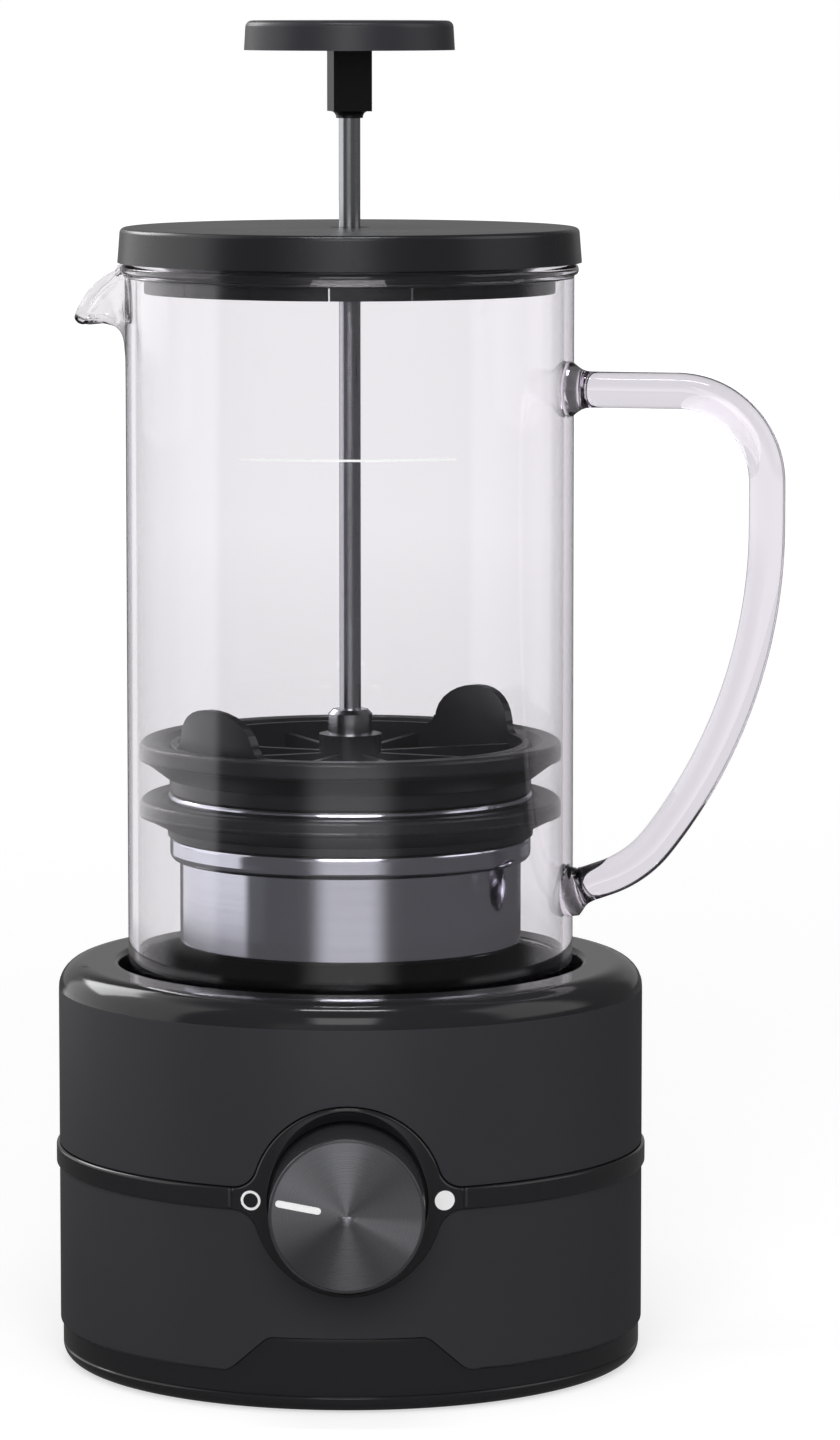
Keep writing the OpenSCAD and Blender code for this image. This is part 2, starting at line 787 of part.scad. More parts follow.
module at_magnets(pitch) for (s = [-1, 1]) translate([s * pitch / 2, 0, 0]) children();

module magnet_carrier() color(inner_black)
    difference() {
        union() {
            translate([0, 0, carrier_lo]) cylinder(d = carrier_d, h = carrier_h);
            translate([0, 0, bracket_hi + 0.5]) cylinder(d = neck_d - 1, h = carrier_lo - bracket_hi);
        }
        translate([0, 0, bracket_hi])
            cylinder(d = motor_shaft_d + 2 * seat_gap, h = carrier_hi - bracket_hi - 1 + seat_gap);
        at_magnets(magnet_pitch) translate([0, 0, carrier_hi - magnet_h])
            cylinder(d = magnet_d + 2 * seat_gap, h = magnet_h + eps);
        for (s = [-1, 1]) translate([0, s * (carrier_d / 4 + 2), carrier_lo - 1]) cylinder(d = 9, h = carrier_h + 2);
    }

module drive_magnets() color(steel)
    at_magnets(magnet_pitch) translate([0, 0, carrier_hi - magnet_h]) cylinder(d = magnet_d, h = magnet_h);

// ---------- Knob ----------

module control_knob() color(gloss_black)
    on_knob_axis() difference() {
        rotate_extrude() difference() {
            box2(0, knob_r, -knob_back_y, -face_y);
            corner(knob_r, -face_y, 0.6, 1, 1);
            box2(shaft_d / 2 + 2.4, knob_r - knob_wall, -knob_back_y - 1, -face_y - cap_t - 2);
            box2(-1, shaft_d / 2 + 3, -knob_back_y - 1, -pocket_y + nut_t + 2.6);
            box2(-1, cap_r + seat_gap, -face_y - cap_t, -face_y + 1);
            box2(-1, shaft_d / 2 + seat_gap, -knob_back_y - 1, -face_y - cap_t - 1.2);
        }
    }

module knob_cap() color("#5a5a5f")
    on_knob_axis() difference() {
        rotate_extrude()
            polygon([[0, -face_y - cap_t], [cap_r, -face_y - cap_t], [cap_r, -face_y - 0.3], [0, -face_y]]);
        pointer_shape(seat_gap, -face_y - pointer_sink - 0.2, 2);
    }

// Bar with round ends that points at the off mark, from the cap's edge inwards
module pointer_shape(extra, z, h) {
    out = cap_r - 0.6 - pointer_w / 2;
    inn = out - pointer_l + pointer_w;
    rotate(180 - pointer_rise) translate([0, 0, z]) linear_extrude(height = h) {
        translate([inn, -pointer_w / 2 - extra]) square([out - inn, pointer_w + 2 * extra]);
        for (x = [inn, out]) translate([x, 0]) circle(d = pointer_w + 2 * extra);
    }
}

module knob_pointer() color(white_ink)
    on_knob_axis() pointer_shape(0, -face_y - pointer_sink - 0.2, pointer_h);

module switch_shaft() color(steel)
    knob_cyl(shaft_d, face_y + cap_t + 1.3, switch_y + switch_l - 2.4);

// ---------- Carafe ----------

module carafe_glass() color(glass_tint, 0.35)
    difference() {
        union() {
            rotate_extrude() polygon(glass_points());
            spout_solid(0);
        }
        rotate_extrude() polygon(glass_inside_points());
        spout_solid(spout_wall);
    }

// Outer half section of the glass with its rounded foot and rim bead
function glass_points() =
    concat([[0, glass_z]], arc(glass_r - glass_corner, glass_z + glass_corner, glass_corner, -90, 0),
        [[glass_r, rim_z - bead_h]], arc(glass_r, rim_z - bead_h + bead_out, bead_out, -60, 0, 4),
        arc(glass_r, rim_z - bead_out, bead_out, 0, 90, 4), [[0, rim_z]]);

// Inner half section, round the pivot that keeps the stirrer in place
function glass_inside_points() =
    let (r = glass_corner - glass_wall)
    concat([[0, floor_z + pivot_h], [pivot_r, floor_z + pivot_h], [pivot_r, floor_z]],
        arc(glass_ir - r, floor_z + r, r, -90, 0), [[glass_ir, rim_z + 1], [0, rim_z + 1]]);

// Beak that grows out of the wall under the rim; inset hollows it to an open channel
module spout_solid(inset)
    rotate(180 - handle_yaw) intersection() {
        translate([0, glass_r, 0]) rotate([90, 0, 0])
            linear_extrude(height = 2 * glass_r) polygon(spout_side(inset));
        translate([0, 0, glass_z]) linear_extrude(height = 2 * glass_h) polygon(spout_plan(inset));
    }

// Side view of the spout in shares of its reach and drop: along the top to the tip, and back underneath
SPOUT_TOP = [[0.1, 0.13], [0.35, 0.2], [0.66, 0.47], [0.91, 0.82], [1, 1]];
SPOUT_UNDER = [[0.91, 1.05], [0.54, 1.03], [0.36, 1.05], [0.2, 1.17], [0.15, 1.31], [0.13, 1.52]];
function spout_side(inset) =
    let (under = [for (p = SPOUT_UNDER)
        [glass_r + p.x * spout_reach - inset * (1 - p.x), rim_z - p.y * spout_drop + inset * (1 - 0.4 * p.x)]],
        x0 = glass_ir - 2)
    inset > 0
        ? concat([[x0 - 2, rim_z + 5], [glass_r + spout_reach + 5, rim_z + 5],
            [glass_r + spout_reach + 5, under[0].y]],
            under, [[x0 - 2, rim_z - 1.6 * spout_drop]])
        : concat([[x0, rim_z - 0.1 * spout_drop]],
            [for (p = SPOUT_TOP) [glass_r + p.x * spout_reach, rim_z - p.y * spout_drop]], under,
            [[x0, rim_z - 1.7 * spout_drop]]);

// Plan of the spout: two sides that run together to the rounded tip
function spout_plan(inset) =
    let (x0 = glass_ir - 5, w = spout_w / 2 - inset, r = spout_tip_r - inset / 2,
        x1 = glass_r + spout_reach - spout_tip_r + (inset > 0 ? spout_wall : 0), a = atan2(w - r, x1 - x0))
    concat([[x0, -w]], arc(x1, 0, r, a - 90, 90 - a, 6), [[x0, w]]);

// Path of the handle in its own plane: x out of the glass's axis, y up from the upper root
sweep_angle = 38;
handle_x1 = glass_r + handle_run;
handle_x2 = handle_x1 + handle_bend;
sweep_x = handle_x2 - handle_sweep * (1 - cos(sweep_angle));
upright_y = -handle_bend - handle_upright;
sweep_y = upright_y - handle_sweep * sin(sweep_angle);
tuck_x = sweep_x + handle_tuck * (cos(handle_lean) - cos(sweep_angle));
tuck_y = sweep_y - handle_tuck * (sin(handle_lean) - sin(sweep_angle));
handle_path = concat(
    [for (x = [-2, 2.6, 6, handle_run / 2]) [glass_r + x, 0]],
    arc(handle_x1, -handle_bend, handle_bend, 90, 0, 10),
    [for (p = arc(handle_x2 - handle_sweep, upright_y, handle_sweep, 0, -sweep_angle, 8))
        if (p.y < -handle_bend) p],
    [for (p = arc(sweep_x - handle_tuck * cos(sweep_angle), sweep_y + handle_tuck * sin(sweep_angle),
        handle_tuck, -sweep_angle, -handle_lean, 6)) if (p.y < sweep_y) p],
    [for (x = [8, 6, 2.6, -2]) [glass_r + x, tuck_y - (tuck_x - glass_r - x) / tan(handle_lean)]]);
handle_last = len(handle_path) - 1;
handle_radii = [for (i = [0 : handle_last])
    min(i, handle_last - i) < 2 ? handle_root_d / 2 : handle_d / 2];

module carafe_handle() color(glass_tint, 0.4)
    difference() {
        rotate(-handle_yaw) translate([0, 0, glass_z + handle_top])
            sweep([for (p = handle_path) [p.x, 0, p.y]], handle_radii, [0, 1, 0], 20);
        translate([0, 0, glass_z]) cylinder(r = glass_r + seat_gap, h = glass_h);
    }

module fill_line() color(white_ink)
    sector(glass_r + ink_gap + ink_t, glass_r + ink_gap, fill_z - ink_w / 2, fill_z + ink_w / 2, -90,
        2 * fill_angle);

// ---------- Stirrer ----------

module stirrer() color(inner_black)
    translate([0, 0, stirrer_z]) difference() {
        union() {
            rotate_extrude() difference() {
                box2(0, stirrer_d / 2, 0, stirrer_disc);
                corner(stirrer_d / 2, stirrer_disc, 1, 1, 1);
                corner(stirrer_d / 2, 0, 1, 1, -1);
            }
            cylinder(r = hub_r, h = stirrer_h);
            for (i = [0 : blade_count - 1]) rotate((i + 0.5) * 360 / blade_count)
                translate([hub_r - 1, -0.8, stirrer_disc - eps])
                    cube([stirrer_d / 2 - hub_r, 1.6, stirrer_h - stirrer_disc - 0.6]);
        }
        translate([0, 0, -eps]) cylinder(r = pivot_r + lift_gap, h = pivot_h + lift_gap);
        at_magnets(magnet_pitch) translate([0, 0, stirrer_disc - magnet_h])
            cylinder(d = magnet_d - 1 + 2 * seat_gap, h = stirrer_h);
    }

module stirrer_magnets() color(steel)
    at_magnets(magnet_pitch) translate([0, 0, stirrer_z + stirrer_disc - magnet_h])
        cylinder(d = magnet_d - 1, h = magnet_h);

// ---------- Lid ----------

module lid_cover() color(satin_black) rotate_extrude() polygon(lid_points());

// Section of the lid: the leaning side, the rounded upper edge, and the ring underneath that the insert seats on
function lid_points() =
    let (a = atan2(lid_draft, lid_h), t = lid_edge / tan(45 + a / 2), under = lid_top - lid_wall,
        hole = guide_d / 2 + seat_gap, rim_in = lid_r - lid_draft - lid_wall)
    concat([[lid_r, lid_z]], arc(lid_r - lid_draft - t, lid_top - lid_edge, lid_edge, a, 90),
        [[hole, lid_top], [hole, under], [skirt_r - skirt_t - 3, under], [skirt_r - skirt_t - 3, seat_z],
        [skirt_r + 1, seat_z], [skirt_r + 1, under], [rim_in, under], [rim_in, lid_z]]);

module lid_insert() color(gloss_black)
    difference() {
        rotate_extrude() difference() {
            union() {
                box2(skirt_r - skirt_t, skirt_r, skirt_z, seat_z);
                box2(rod_d / 2 + 1.2, skirt_r + 2.4, lid_z + 0.1, seat_z);
                box2(guide_d / 2 + seat_gap, insert_boss / 2, lid_z - 1.6, seat_z);
            }
            box2(-1, guide_d / 2 + seat_gap, lid_z - 3, lid_z + 3);
        }
        for (i = [0 : slot_count - 1]) rotate(i * 360 / slot_count - slot_turn)
            translate([skirt_r - 3 * skirt_t, -slot_w / 2, skirt_z - eps]) cube([6 * skirt_t, slot_w, slot_h]);
    }

module lid_seal() color(rubber_black)
    rotate_extrude() {
        box2(skirt_r + seat_gap, glass_ir - lift_gap - 0.6, rim_z - 3.4, rim_z - 0.6);
        for (z = [1.2, 2.8]) translate([glass_ir - lift_gap - 0.6, rim_z - z]) circle(0.6);
    }

module rod_guide() color(inner_black)
    ring(guide_d / 2, rod_d / 2 + run_gap, lid_z - 1.6, lid_top);

// ---------- Plunger ----------

module plunger_knob() color(satin_black)
    difference() {
        rotate_extrude() difference() {
            polygon(concat([[0, grip_z], [grip_d / 2, grip_z]],
                arc(grip_d / 2 - grip_draft - grip_edge, grip_z + grip_h - grip_edge, grip_edge, 0, 90),
                [[0, grip_z + grip_h]]));
            box2(stem_w, grip_d / 2 - grip_wall - 0.3, grip_z - 1, grip_z + grip_h - 2.6);
        }
        rotate(stem_yaw) translate([-stem_w / 2 - seat_gap, -stem_w / 2 - seat_gap, grip_z - 1])
            cube([stem_w + 2 * seat_gap, stem_w + 2 * seat_gap, 4]);
    }

// Square stem with a collar that draws in to a round neck
module knob_stem() color(gloss_black)
    rotate(stem_yaw) translate([0, 0, stem_z]) difference() {
        intersection() {
            translate([-stem_w / 2, -stem_w / 2, 0]) cube([stem_w, stem_w, stem_l + 3]);
            stem_lathe();
        }
        translate([0, 0, -1]) cylinder(d = rod_d + 2 * seat_gap, h = stem_l + 1);
    }

module stem_lathe() {
    neck = rod_d / 2 + 0.6;
    rotate_extrude() difference() {
        box2(0, stem_w, 0, stem_l + 4);
        translate([neck + stem_cove, 0.2]) circle(stem_cove);
        box2(neck, stem_w + 1, -1, 0.2);
        box2(neck + stem_cove, stem_w + 1, -1, 0.2 + stem_cove);
    }
}

module plunger_rod() color(steel)
    translate([0, 0, hub_z - rod_sink]) cylinder(d = rod_d, h = stem_z + stem_l - hub_z + rod_sink);

module rod_ferrule() color(steel)
    rotate_extrude() difference() {
        box2(rod_d / 2 + seat_gap, ferrule_d / 2, hub_z, ferrule_top);
        polygon([[ferrule_d / 2 - 1, ferrule_top + eps], [ferrule_d / 2 + eps, ferrule_top + eps],
            [ferrule_d / 2 + eps, ferrule_top - 1]]);
    }

// ---------- Filter cover ----------

module filter_cover() color(inner_black)
    difference() {
        union() {
            rotate_extrude() cover_profile();
            ribs();
            for (a = [wing_angle, wing_angle + 180]) rotate(a) wing();
            for (i = [0 : 2]) sector(plug_r + lug_out, plug_r - 0.5, lug_z, lug_z + lug_h, i * 120, lug_angle);
        }
        translate([0, 0, hub_z - rod_sink - seat_gap]) cylinder(d = rod_d + 2 * seat_gap, h = rod_sink + 5);
        windows();
    }

module cover_profile() {
    difference() {
        box2(0, cover_r - 0.6, cover_z, cover_z + cover_h);
        box2(-1, cover_r - cover_wall, cover_floor_z + cover_floor, cover_z + cover_h + 1);
        corner(cover_r - 0.6, cover_z + cover_h, 0.8, 1, 1);
    }
    box2(plug_r - plug_wall, plug_r, plug_z, cover_z + 1);
    box2(0, 7, cover_z, hub_z);
}

module ribs()
    for (i = [0 : rib_count - 1]) rotate((i + 0.5) * 360 / rib_count)
        translate([4, -0.8, cover_floor_z + cover_floor - eps])
            cube([cover_r - cover_wall - 3.4, 1.6, cover_h - cover_floor - 3]);

module windows()
    for (i = [0 : rib_count - 1])
        sector(cover_r - cover_wall - 4, 11, cover_z - 1, cover_floor_z + cover_floor + 1, i * 360 / rib_count,
            360 / rib_count - 12);

// Rounded finger wing that stands on the cover's rim and follows its curve
module wing()
    intersection() {
        ring(cover_r - 0.8, cover_r - cover_wall - 0.2, cover_z + cover_h - 1, cover_z + cover_h + wing_h + 1);
        translate([0, 0, cover_z + cover_h]) rotate([90, 0, 90]) linear_extrude(height = cover_r) {
            polygon([for (a = [0 : 12 : 180]) [wing_w / 2 * cos(a), wing_h * pow(sin(a), 0.8)]]);
            difference() {
                box2(-wing_w / 2 - 2.2, wing_w / 2 + 2.2, -0.9, 2);
                for (s = [-1, 1]) translate([s * (wing_w / 2 + 2.3), 2.1]) circle(2.1);
            }
        }
    }

module cover_seal() color(rubber_black)
    rotate_extrude() {
        polygon([[cover_r - 0.55, cover_z + 3.2], [cover_r + 0.2, cover_z + 3.2],
            [seal_r - lip_round, cover_z + 7.2], [seal_r - lip_round, cover_z + 11.3],
            [cover_r + 2, cover_z + 11.1], [cover_r + 0.2, cover_z + 9.6], [cover_r - 0.55, cover_z + 9]]);
        for (z = [8.1, 10.4]) translate([seal_r - lip_round, cover_z + z]) circle(lip_round);
        box2(seal_r - lip_round - eps, seal_r, cover_z + 8.1, cover_z + 10.4);
    }

module cover_mesh() color(zinc)
    ring(plug_r - plug_wall - 0.1, 8, cover_z - mesh_t - seat_gap, cover_z - seat_gap);

// ---------- Filter cup ----------

module filter_cup() color(steel)
    difference() {
        union() {
            rotate_extrude() polygon(cup_points());
            for (i = [0 : 2])
                sector(gate_r + cup_t, cup_r - cup_t / 2, neck_z - cup_t / 2, cup_rim_z - rim_roll,
                    i * 120 + bayonet_turn, gate_angle + 2);
        }
        for (i = [0 : 2])
            sector(gate_r, cup_r - cup_t - 2, neck_z - 2 * cup_t, cup_rim_z + 1, i * 120 + bayonet_turn,
                gate_angle);
    }

// Section of the cup's sheet: up the outside over the bead to the rolled rim, and back down the inside
function cup_points() =
    let (ri = cup_r - cup_t, bi = cup_bead_r - cup_t)
    concat([[cup_r - cup_ledge, cup_z]], arc(cup_r - cup_foot, cup_z + cup_foot, cup_foot, -90, 0),
        [[cup_r, bead_z]], arc(cup_bead_r - 1.8, bead_z + 1.8, 1.8, -60, 0),
        arc(cup_bead_r - 1.2, neck_z - 1.2, 1.2, 0, 90),
        [[cup_r, neck_z], [cup_r, cup_rim_z - 2 * rim_roll]],
        arc(cup_rim_r - rim_roll, cup_rim_z - rim_roll, rim_roll, -90, 90, 8),
        [[ri, cup_rim_z], [ri, neck_z - cup_t], [bi, neck_z - cup_t]],
        arc(bi - 1.2, bead_z + 1.8, 1.2, 0, -60), [[ri, bead_z + cup_t]],
        arc(ri - cup_foot + cup_t, cup_z + cup_foot, cup_foot - cup_t, 0, -90),
        [[cup_r - cup_ledge, cup_z + cup_t]]);

module cup_mesh() color(zinc)
    ring(cup_r - 3, 0.001, cup_z + cup_t + seat_gap, cup_z + cup_t + seat_gap + mesh_t);

module cup_seal() color(rubber_black)
    difference() {
        rotate_extrude() {
            z = neck_z + 0.1;
            top = cup_rim_z - 2 * rim_roll - 0.1;
            polygon([[cup_r + seat_gap, z], [cover_r - 0.2, z], [cover_r - 0.1, z + 1.6],
                [seal_r - lip_round, z + 4.6], [seal_r - lip_round, top + 0.8], [cover_r + 1.4, top + 0.6],
                [cup_rim_r + 0.2, top], [cup_r + seat_gap, top]]);
            translate([seal_r - lip_round, z + 5.5]) circle(lip_round);
            translate([seal_r - lip_round, top]) circle(lip_round - 0.1);
            box2(seal_r - lip_round - eps, seal_r - 0.1, z + 5.5, top);
        }
        for (i = [0 : 2])
            sector(gate_r + cup_t + seat_gap, cup_r - 1, neck_z - 1, cup_rim_z + 1, i * 120 + bayonet_turn,
                gate_angle + 4);
    }

plinth();
lower_housing();
upper_housing();
waist_belt();
dial_marks();
carafe_well();
well_pad();
base_plate();
rubber_feet();
base_screws();
motor_can();
motor_end_cap();
motor_bracket();
bracket_screws();
rotary_switch();
switch_nut();
circuit_board();
board_parts();
wire_leads();
cord_bushing();
motor_shaft();
magnet_carrier();
drive_magnets();
control_knob();
knob_cap();
knob_pointer();
switch_shaft();
carafe_glass();
carafe_handle();
fill_line();
stirrer();
stirrer_magnets();
lid_cover();
lid_insert();
lid_seal();
rod_guide();
plunger_knob();
knob_stem();
plunger_rod();
rod_ferrule();
filter_cover();
cover_seal();
cover_mesh();
filter_cup();
cup_mesh();
cup_seal();
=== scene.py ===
import math

import bpy
import numpy as np
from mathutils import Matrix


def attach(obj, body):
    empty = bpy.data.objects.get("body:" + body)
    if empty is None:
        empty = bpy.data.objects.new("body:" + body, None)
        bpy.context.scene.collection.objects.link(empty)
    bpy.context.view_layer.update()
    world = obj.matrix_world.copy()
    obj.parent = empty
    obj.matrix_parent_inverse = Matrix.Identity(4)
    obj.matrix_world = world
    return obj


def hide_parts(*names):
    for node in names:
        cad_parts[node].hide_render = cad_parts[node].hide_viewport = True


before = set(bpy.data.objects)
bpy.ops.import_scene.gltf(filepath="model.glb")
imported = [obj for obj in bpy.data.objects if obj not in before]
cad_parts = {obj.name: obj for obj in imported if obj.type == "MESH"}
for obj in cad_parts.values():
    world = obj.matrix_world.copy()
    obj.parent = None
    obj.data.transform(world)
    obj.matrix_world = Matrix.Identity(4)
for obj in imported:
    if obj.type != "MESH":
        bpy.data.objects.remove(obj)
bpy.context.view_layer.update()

# ---------- Base plate, feet and screws ----------
# The underside is one moulded tray in dull black plastic. Four screws run up through it into the
# housing's bosses, and five pressed-in rubber feet carry the machine.


def new_material(name, colour, roughness, metallic=0.0):
    """An empty material with a Principled shader, its constant sockets set; returns material, tree, shader."""
    material = bpy.data.materials.new(name)
    material.use_nodes = True
    tree = material.node_tree
    shader = tree.nodes["Principled BSDF"]
    shader.inputs["Base Color"].default_value = (*colour, 1)
    shader.inputs["Roughness"].default_value = roughness
    shader.inputs["Metallic"].default_value = metallic
    return material, tree, shader


def hex_colour(text):
    """Linear colour of a written sRGB value: ((c + 0.055) / 1.055) ** 2.4 above the toe."""
    parts = [int(text[i:i + 2], 16) / 255 for i in (1, 3, 5)]
    return tuple(c / 12.92 if c <= 0.04045 else ((c + 0.055) / 1.055) ** 2.4 for c in parts)


def put(tree, kind, inputs=None, **settings):
    """One node with its settings; inputs are plain values or sockets to link from."""
    node = tree.nodes.new(kind)
    for key, value in settings.items():
        setattr(node, key, value)
    for key, value in (inputs or {}).items():
        if isinstance(value, bpy.types.NodeSocket):
            tree.links.new(value, node.inputs[key])
        else:
            node.inputs[key].default_value = value
    return node


def blend_colours(tree, mask, first, second):
    """Base colour that goes from first to second as mask goes from 0 to 1."""
    mix = put(tree, "ShaderNodeMix", {0: mask}, data_type="RGBA")
    mix.inputs[6].default_value = (*first, 1)
    mix.inputs[7].default_value = (*second, 1)
    return mix.outputs[2]


def spread(tree, value, low, high, start=0.0, end=1.0):
    """Maps value from start..end to low..high in a straight line."""
    node = put(tree, "ShaderNodeMapRange", {"Value": value, "From Min": start, "From Max": end,
                                            "To Min": low, "To Max": high})
    return node.outputs["Result"]


def new_group(name, inputs, outputs):
    """Node group with float or vector inputs and float outputs; returns the group and its two end nodes."""
    group = bpy.data.node_groups.new(name, "ShaderNodeTree")
    for key, kind, value in inputs:
        socket = group.interface.new_socket(key, in_out="INPUT", socket_type=kind)
        if kind == "NodeSocketFloat":
            socket.default_value = value
    for key in outputs:
        group.interface.new_socket(key, in_out="OUTPUT", socket_type="NodeSocketFloat")
    return group, group.nodes.new("NodeGroupInput"), group.nodes.new("NodeGroupOutput")


# Spark-eroded grain of a moulded face, with the faint cloudiness that handling leaves on it
moulded_grain, grain_in, grain_out = new_group(
    "moulded_grain", [("Vector", "NodeSocketVector", 0), ("Grain", "NodeSocketFloat", 2600.0)], ["Height", "Cloud"])
spot = grain_in.outputs["Vector"]
fine = put(moulded_grain, "ShaderNodeTexNoise", {"Vector": spot, "Scale": grain_in.outputs["Grain"], "Detail": 3.0,
                                                 "Roughness": 0.6})
cloud = put(moulded_grain, "ShaderNodeTexNoise", {"Vector": spot, "Scale": 34.0, "Detail": 4.0})
moulded_grain.links.new(fine.outputs[0], grain_out.inputs["Height"])
moulded_grain.links.new(cloud.outputs[0], grain_out.inputs["Cloud"])


def moulding(name, colour, roughness, grain=2600.0, depth=0.02, cloud=0.06, specular=0.5, coat=0.0,
             metallic=0.0):
    """Moulded plastic or plated metal: grain bumps the face, the share cloud varies roughness and lightness."""
    material, tree, shader = new_material(name, colour, roughness, metallic)
    shader.inputs["Specular IOR Level"].default_value = specular
    shader.inputs["Coat Weight"].default_value = coat
    shader.inputs["Coat Roughness"].default_value = 0.08
    place = put(tree, "ShaderNodeTexCoord").outputs["Object"]
    effect = put(tree, "ShaderNodeGroup", node_tree=moulded_grain)
    tree.links.new(place, effect.inputs["Vector"])
    effect.inputs["Grain"].default_value = grain
    tree.links.new(spread(tree, effect.outputs["Cloud"], roughness * (1 - cloud), roughness * (1 + cloud), 0.3, 0.7),
                   shader.inputs["Roughness"])
    darker = tuple(c * (1 - cloud) for c in colour)
    lighter = tuple(c * (1 + cloud) for c in colour)
    tree.links.new(blend_colours(tree, effect.outputs["Cloud"], darker, lighter), shader.inputs["Base Color"])
    bump = put(tree, "ShaderNodeBump", {"Height": effect.outputs["Height"], "Strength": depth, "Distance": 0.0002})
    tree.links.new(bump.outputs[0], shader.inputs["Normal"])
    return material


def dress(material, *names):
    """Gives CAD nodes their material."""
    for name in names:
        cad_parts[name].material_slots[0].material = material


dull_tray = moulding("dull_tray", hex_colour("#1f1f21"), 0.62, grain=1500, depth=0.12)
foot_rubber = moulding("foot_rubber", hex_colour("#1b1b1d"), 0.8, grain=4200, depth=0.1, cloud=0.12, specular=0.3)
zinc_plate = moulding("zinc_plate", hex_colour("#9aa0a6"), 0.42, grain=900, depth=0.03, cloud=0.14, metallic=1.0)
dress(dull_tray, "base_plate")
dress(foot_rubber, "rubber_feet")
dress(zinc_plate, "base_screws")

# ---------- Plinth with its front tab ----------
# A glossy moulded ring carries the housings from a hair behind their face, on a rounded foot under a
# fine seam. At the front it grows into a bare plate that fills a notch in the lower housing.
housing_in, plinth_r, plinth_in = 0.0631, 0.0651, 0.0599
plinth_foot, plinth_top, tab_top = 0.0006, 0.0090, 0.0171
foot_round, seam = 0.0033, 0.0003
tab_half_top, tab_half_foot, tab_corner, tab_cove = 0.0174, 0.0262, 0.0037, 0.0059
tab_fine_from, tab_fine_to = 0.0140, 0.0290
edge_least, edge_most, crease = 0.0001, 0.0004, 0.00005


def mesh_piece(name, points, faces, material, body, slot):
    """Object at the origin from an array of points and a list of face arrays; rides on its body."""
    mesh = bpy.data.meshes.new(name)
    mesh.from_pydata(points.reshape(-1, 3).tolist(), [], [f for block in faces for f in block.tolist()])
    mesh.validate()
    mesh.shade_smooth()
    piece = bpy.data.objects.new(name, mesh)
    bpy.context.scene.collection.objects.link(piece)
    mesh.materials.append(material)
    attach(piece, body)
    return piece


def grid_faces(rows, columns, wrap_rows=False):
    """Quads of a grid whose point (i, j) has number i * columns + j; columns wrap round, rows where asked."""
    i = np.arange(rows if wrap_rows else rows - 1)[:, None]
    j = np.arange(columns)[None, :]
    i2, j2 = (i + 1) % rows, (j + 1) % columns
    corners = i * columns + j, i * columns + j2, i2 * columns + j2, i2 * columns + j
    return np.stack(np.broadcast_arrays(*corners), -1).reshape(-1, 4)


def closed_skin(rows):
    """Points and faces of a grid whose columns wrap round, its first and last rows closed to a pole each."""
    count, columns = rows.shape[:2]
    poles = np.stack([rows[0].mean(0), rows[-1].mean(0)])
    j = np.arange(columns)
    last, next_j = (count - 1) * columns, (j + 1) % columns
    caps = [np.stack([np.full_like(j, count * columns), next_j, j], -1),
            np.stack([np.full_like(j, count * columns + 1), last + j, last + next_j], -1)]
    return np.concatenate([rows.reshape(-1, 3), poles]), [grid_faces(count, columns)] + caps


def round_corner(cx, cz, r, start, end, steps):
    """Points (cx + r cos a, cz + r sin a) for a from start to end degrees."""
    a = np.radians(np.linspace(start, end, steps))
    return np.stack([cx + r * np.cos(a), cz + r * np.sin(a)], -1)


def on_axis(radius, azimuth, z):
    """Points at radius and azimuth round the vertical axis: (r cos t, r sin t, z), as whole arrays."""
    radius, azimuth, z = np.broadcast_arrays(radius, azimuth, z)
    return np.stack([radius * np.cos(azimuth), radius * np.sin(azimuth), z], -1)


def tab_height(x):
    """Upper edge of plinth and tab over the front view's x: a flat top, rounded corners, leaning sides and coves."""
    x = np.abs(x)
    lean = math.atan2(tab_top - plinth_top, tab_half_foot - tab_half_top)
    top, foot = tab_half_top - tab_corner * math.tan(lean / 2), tab_half_foot + tab_cove * math.tan(lean / 2)
    turn, sweep = tab_corner * math.sin(lean), tab_cove * math.sin(lean)
    corner = tab_top - tab_corner + np.sqrt(np.maximum(tab_corner**2 - (x - top) ** 2, 0))
    cove = plinth_top + tab_cove - np.sqrt(np.maximum(tab_cove**2 - (x - foot) ** 2, 0))
    return np.select([x < top, x < top + turn, x < foot - sweep, x < foot],
                     [tab_top, corner, tab_top - (x - tab_half_top) * math.tan(lean), cove], plinth_top)


def plinth_mesh():
    """Closed section carried round the axis: inside wall, rounded foot, seam, wall up to tab_height, its edge.

    Where the front rises above the plinth, the section's upper part is the tab's plate, housing_in to plinth_r.
    """
    coarse, dense = np.linspace(0, tab_fine_from, 24), np.linspace(0.0141, tab_fine_to, 110)
    front = np.arcsin(np.concatenate([coarse, dense]) / plinth_r)
    half = np.concatenate([front, np.linspace(front[-1], math.pi, 150)[1:]])
    turn = np.concatenate([half, -half[-2:0:-1]])
    azimuth = turn - math.pi / 2
    top = np.where(np.cos(turn) > 0, tab_height(plinth_r * np.sin(turn)), plinth_top)
    edge = np.minimum(edge_most, edge_least + (top - plinth_top) * 0.2)
    foot_top = plinth_foot + foot_round
    low = np.concatenate([[(plinth_in, 0.0060), (plinth_in, plinth_foot), (0.0612, plinth_foot)],
                          round_corner(plinth_r - foot_round, foot_top, foot_round, -90, 0, 14),
                          [(plinth_r - seam, foot_top + 0.00003), (plinth_r - seam, foot_top + seam - 0.00003),
                           (plinth_r - 0.00006, foot_top + seam)]])
    rows = [on_axis(r, azimuth, z) for r, z in low]
    start = foot_top + seam + 0.0001
    rows += [on_axis(plinth_r, azimuth, start + (top - edge - start) * share) for share in np.linspace(0, 1, 12)]
    rows += [on_axis(plinth_r - edge * (1 - math.cos(a)), azimuth, top - edge * (1 - math.sin(a)))
             for a in np.linspace(0, math.pi / 2, 6)[1:]]
    rows += [on_axis(housing_in + 0.0001, azimuth, top), on_axis(housing_in, azimuth, top - 0.0001)]
    rows += [on_axis(r, azimuth, plinth_top - crease) for r in (housing_in, plinth_in)]
    return np.array(rows)


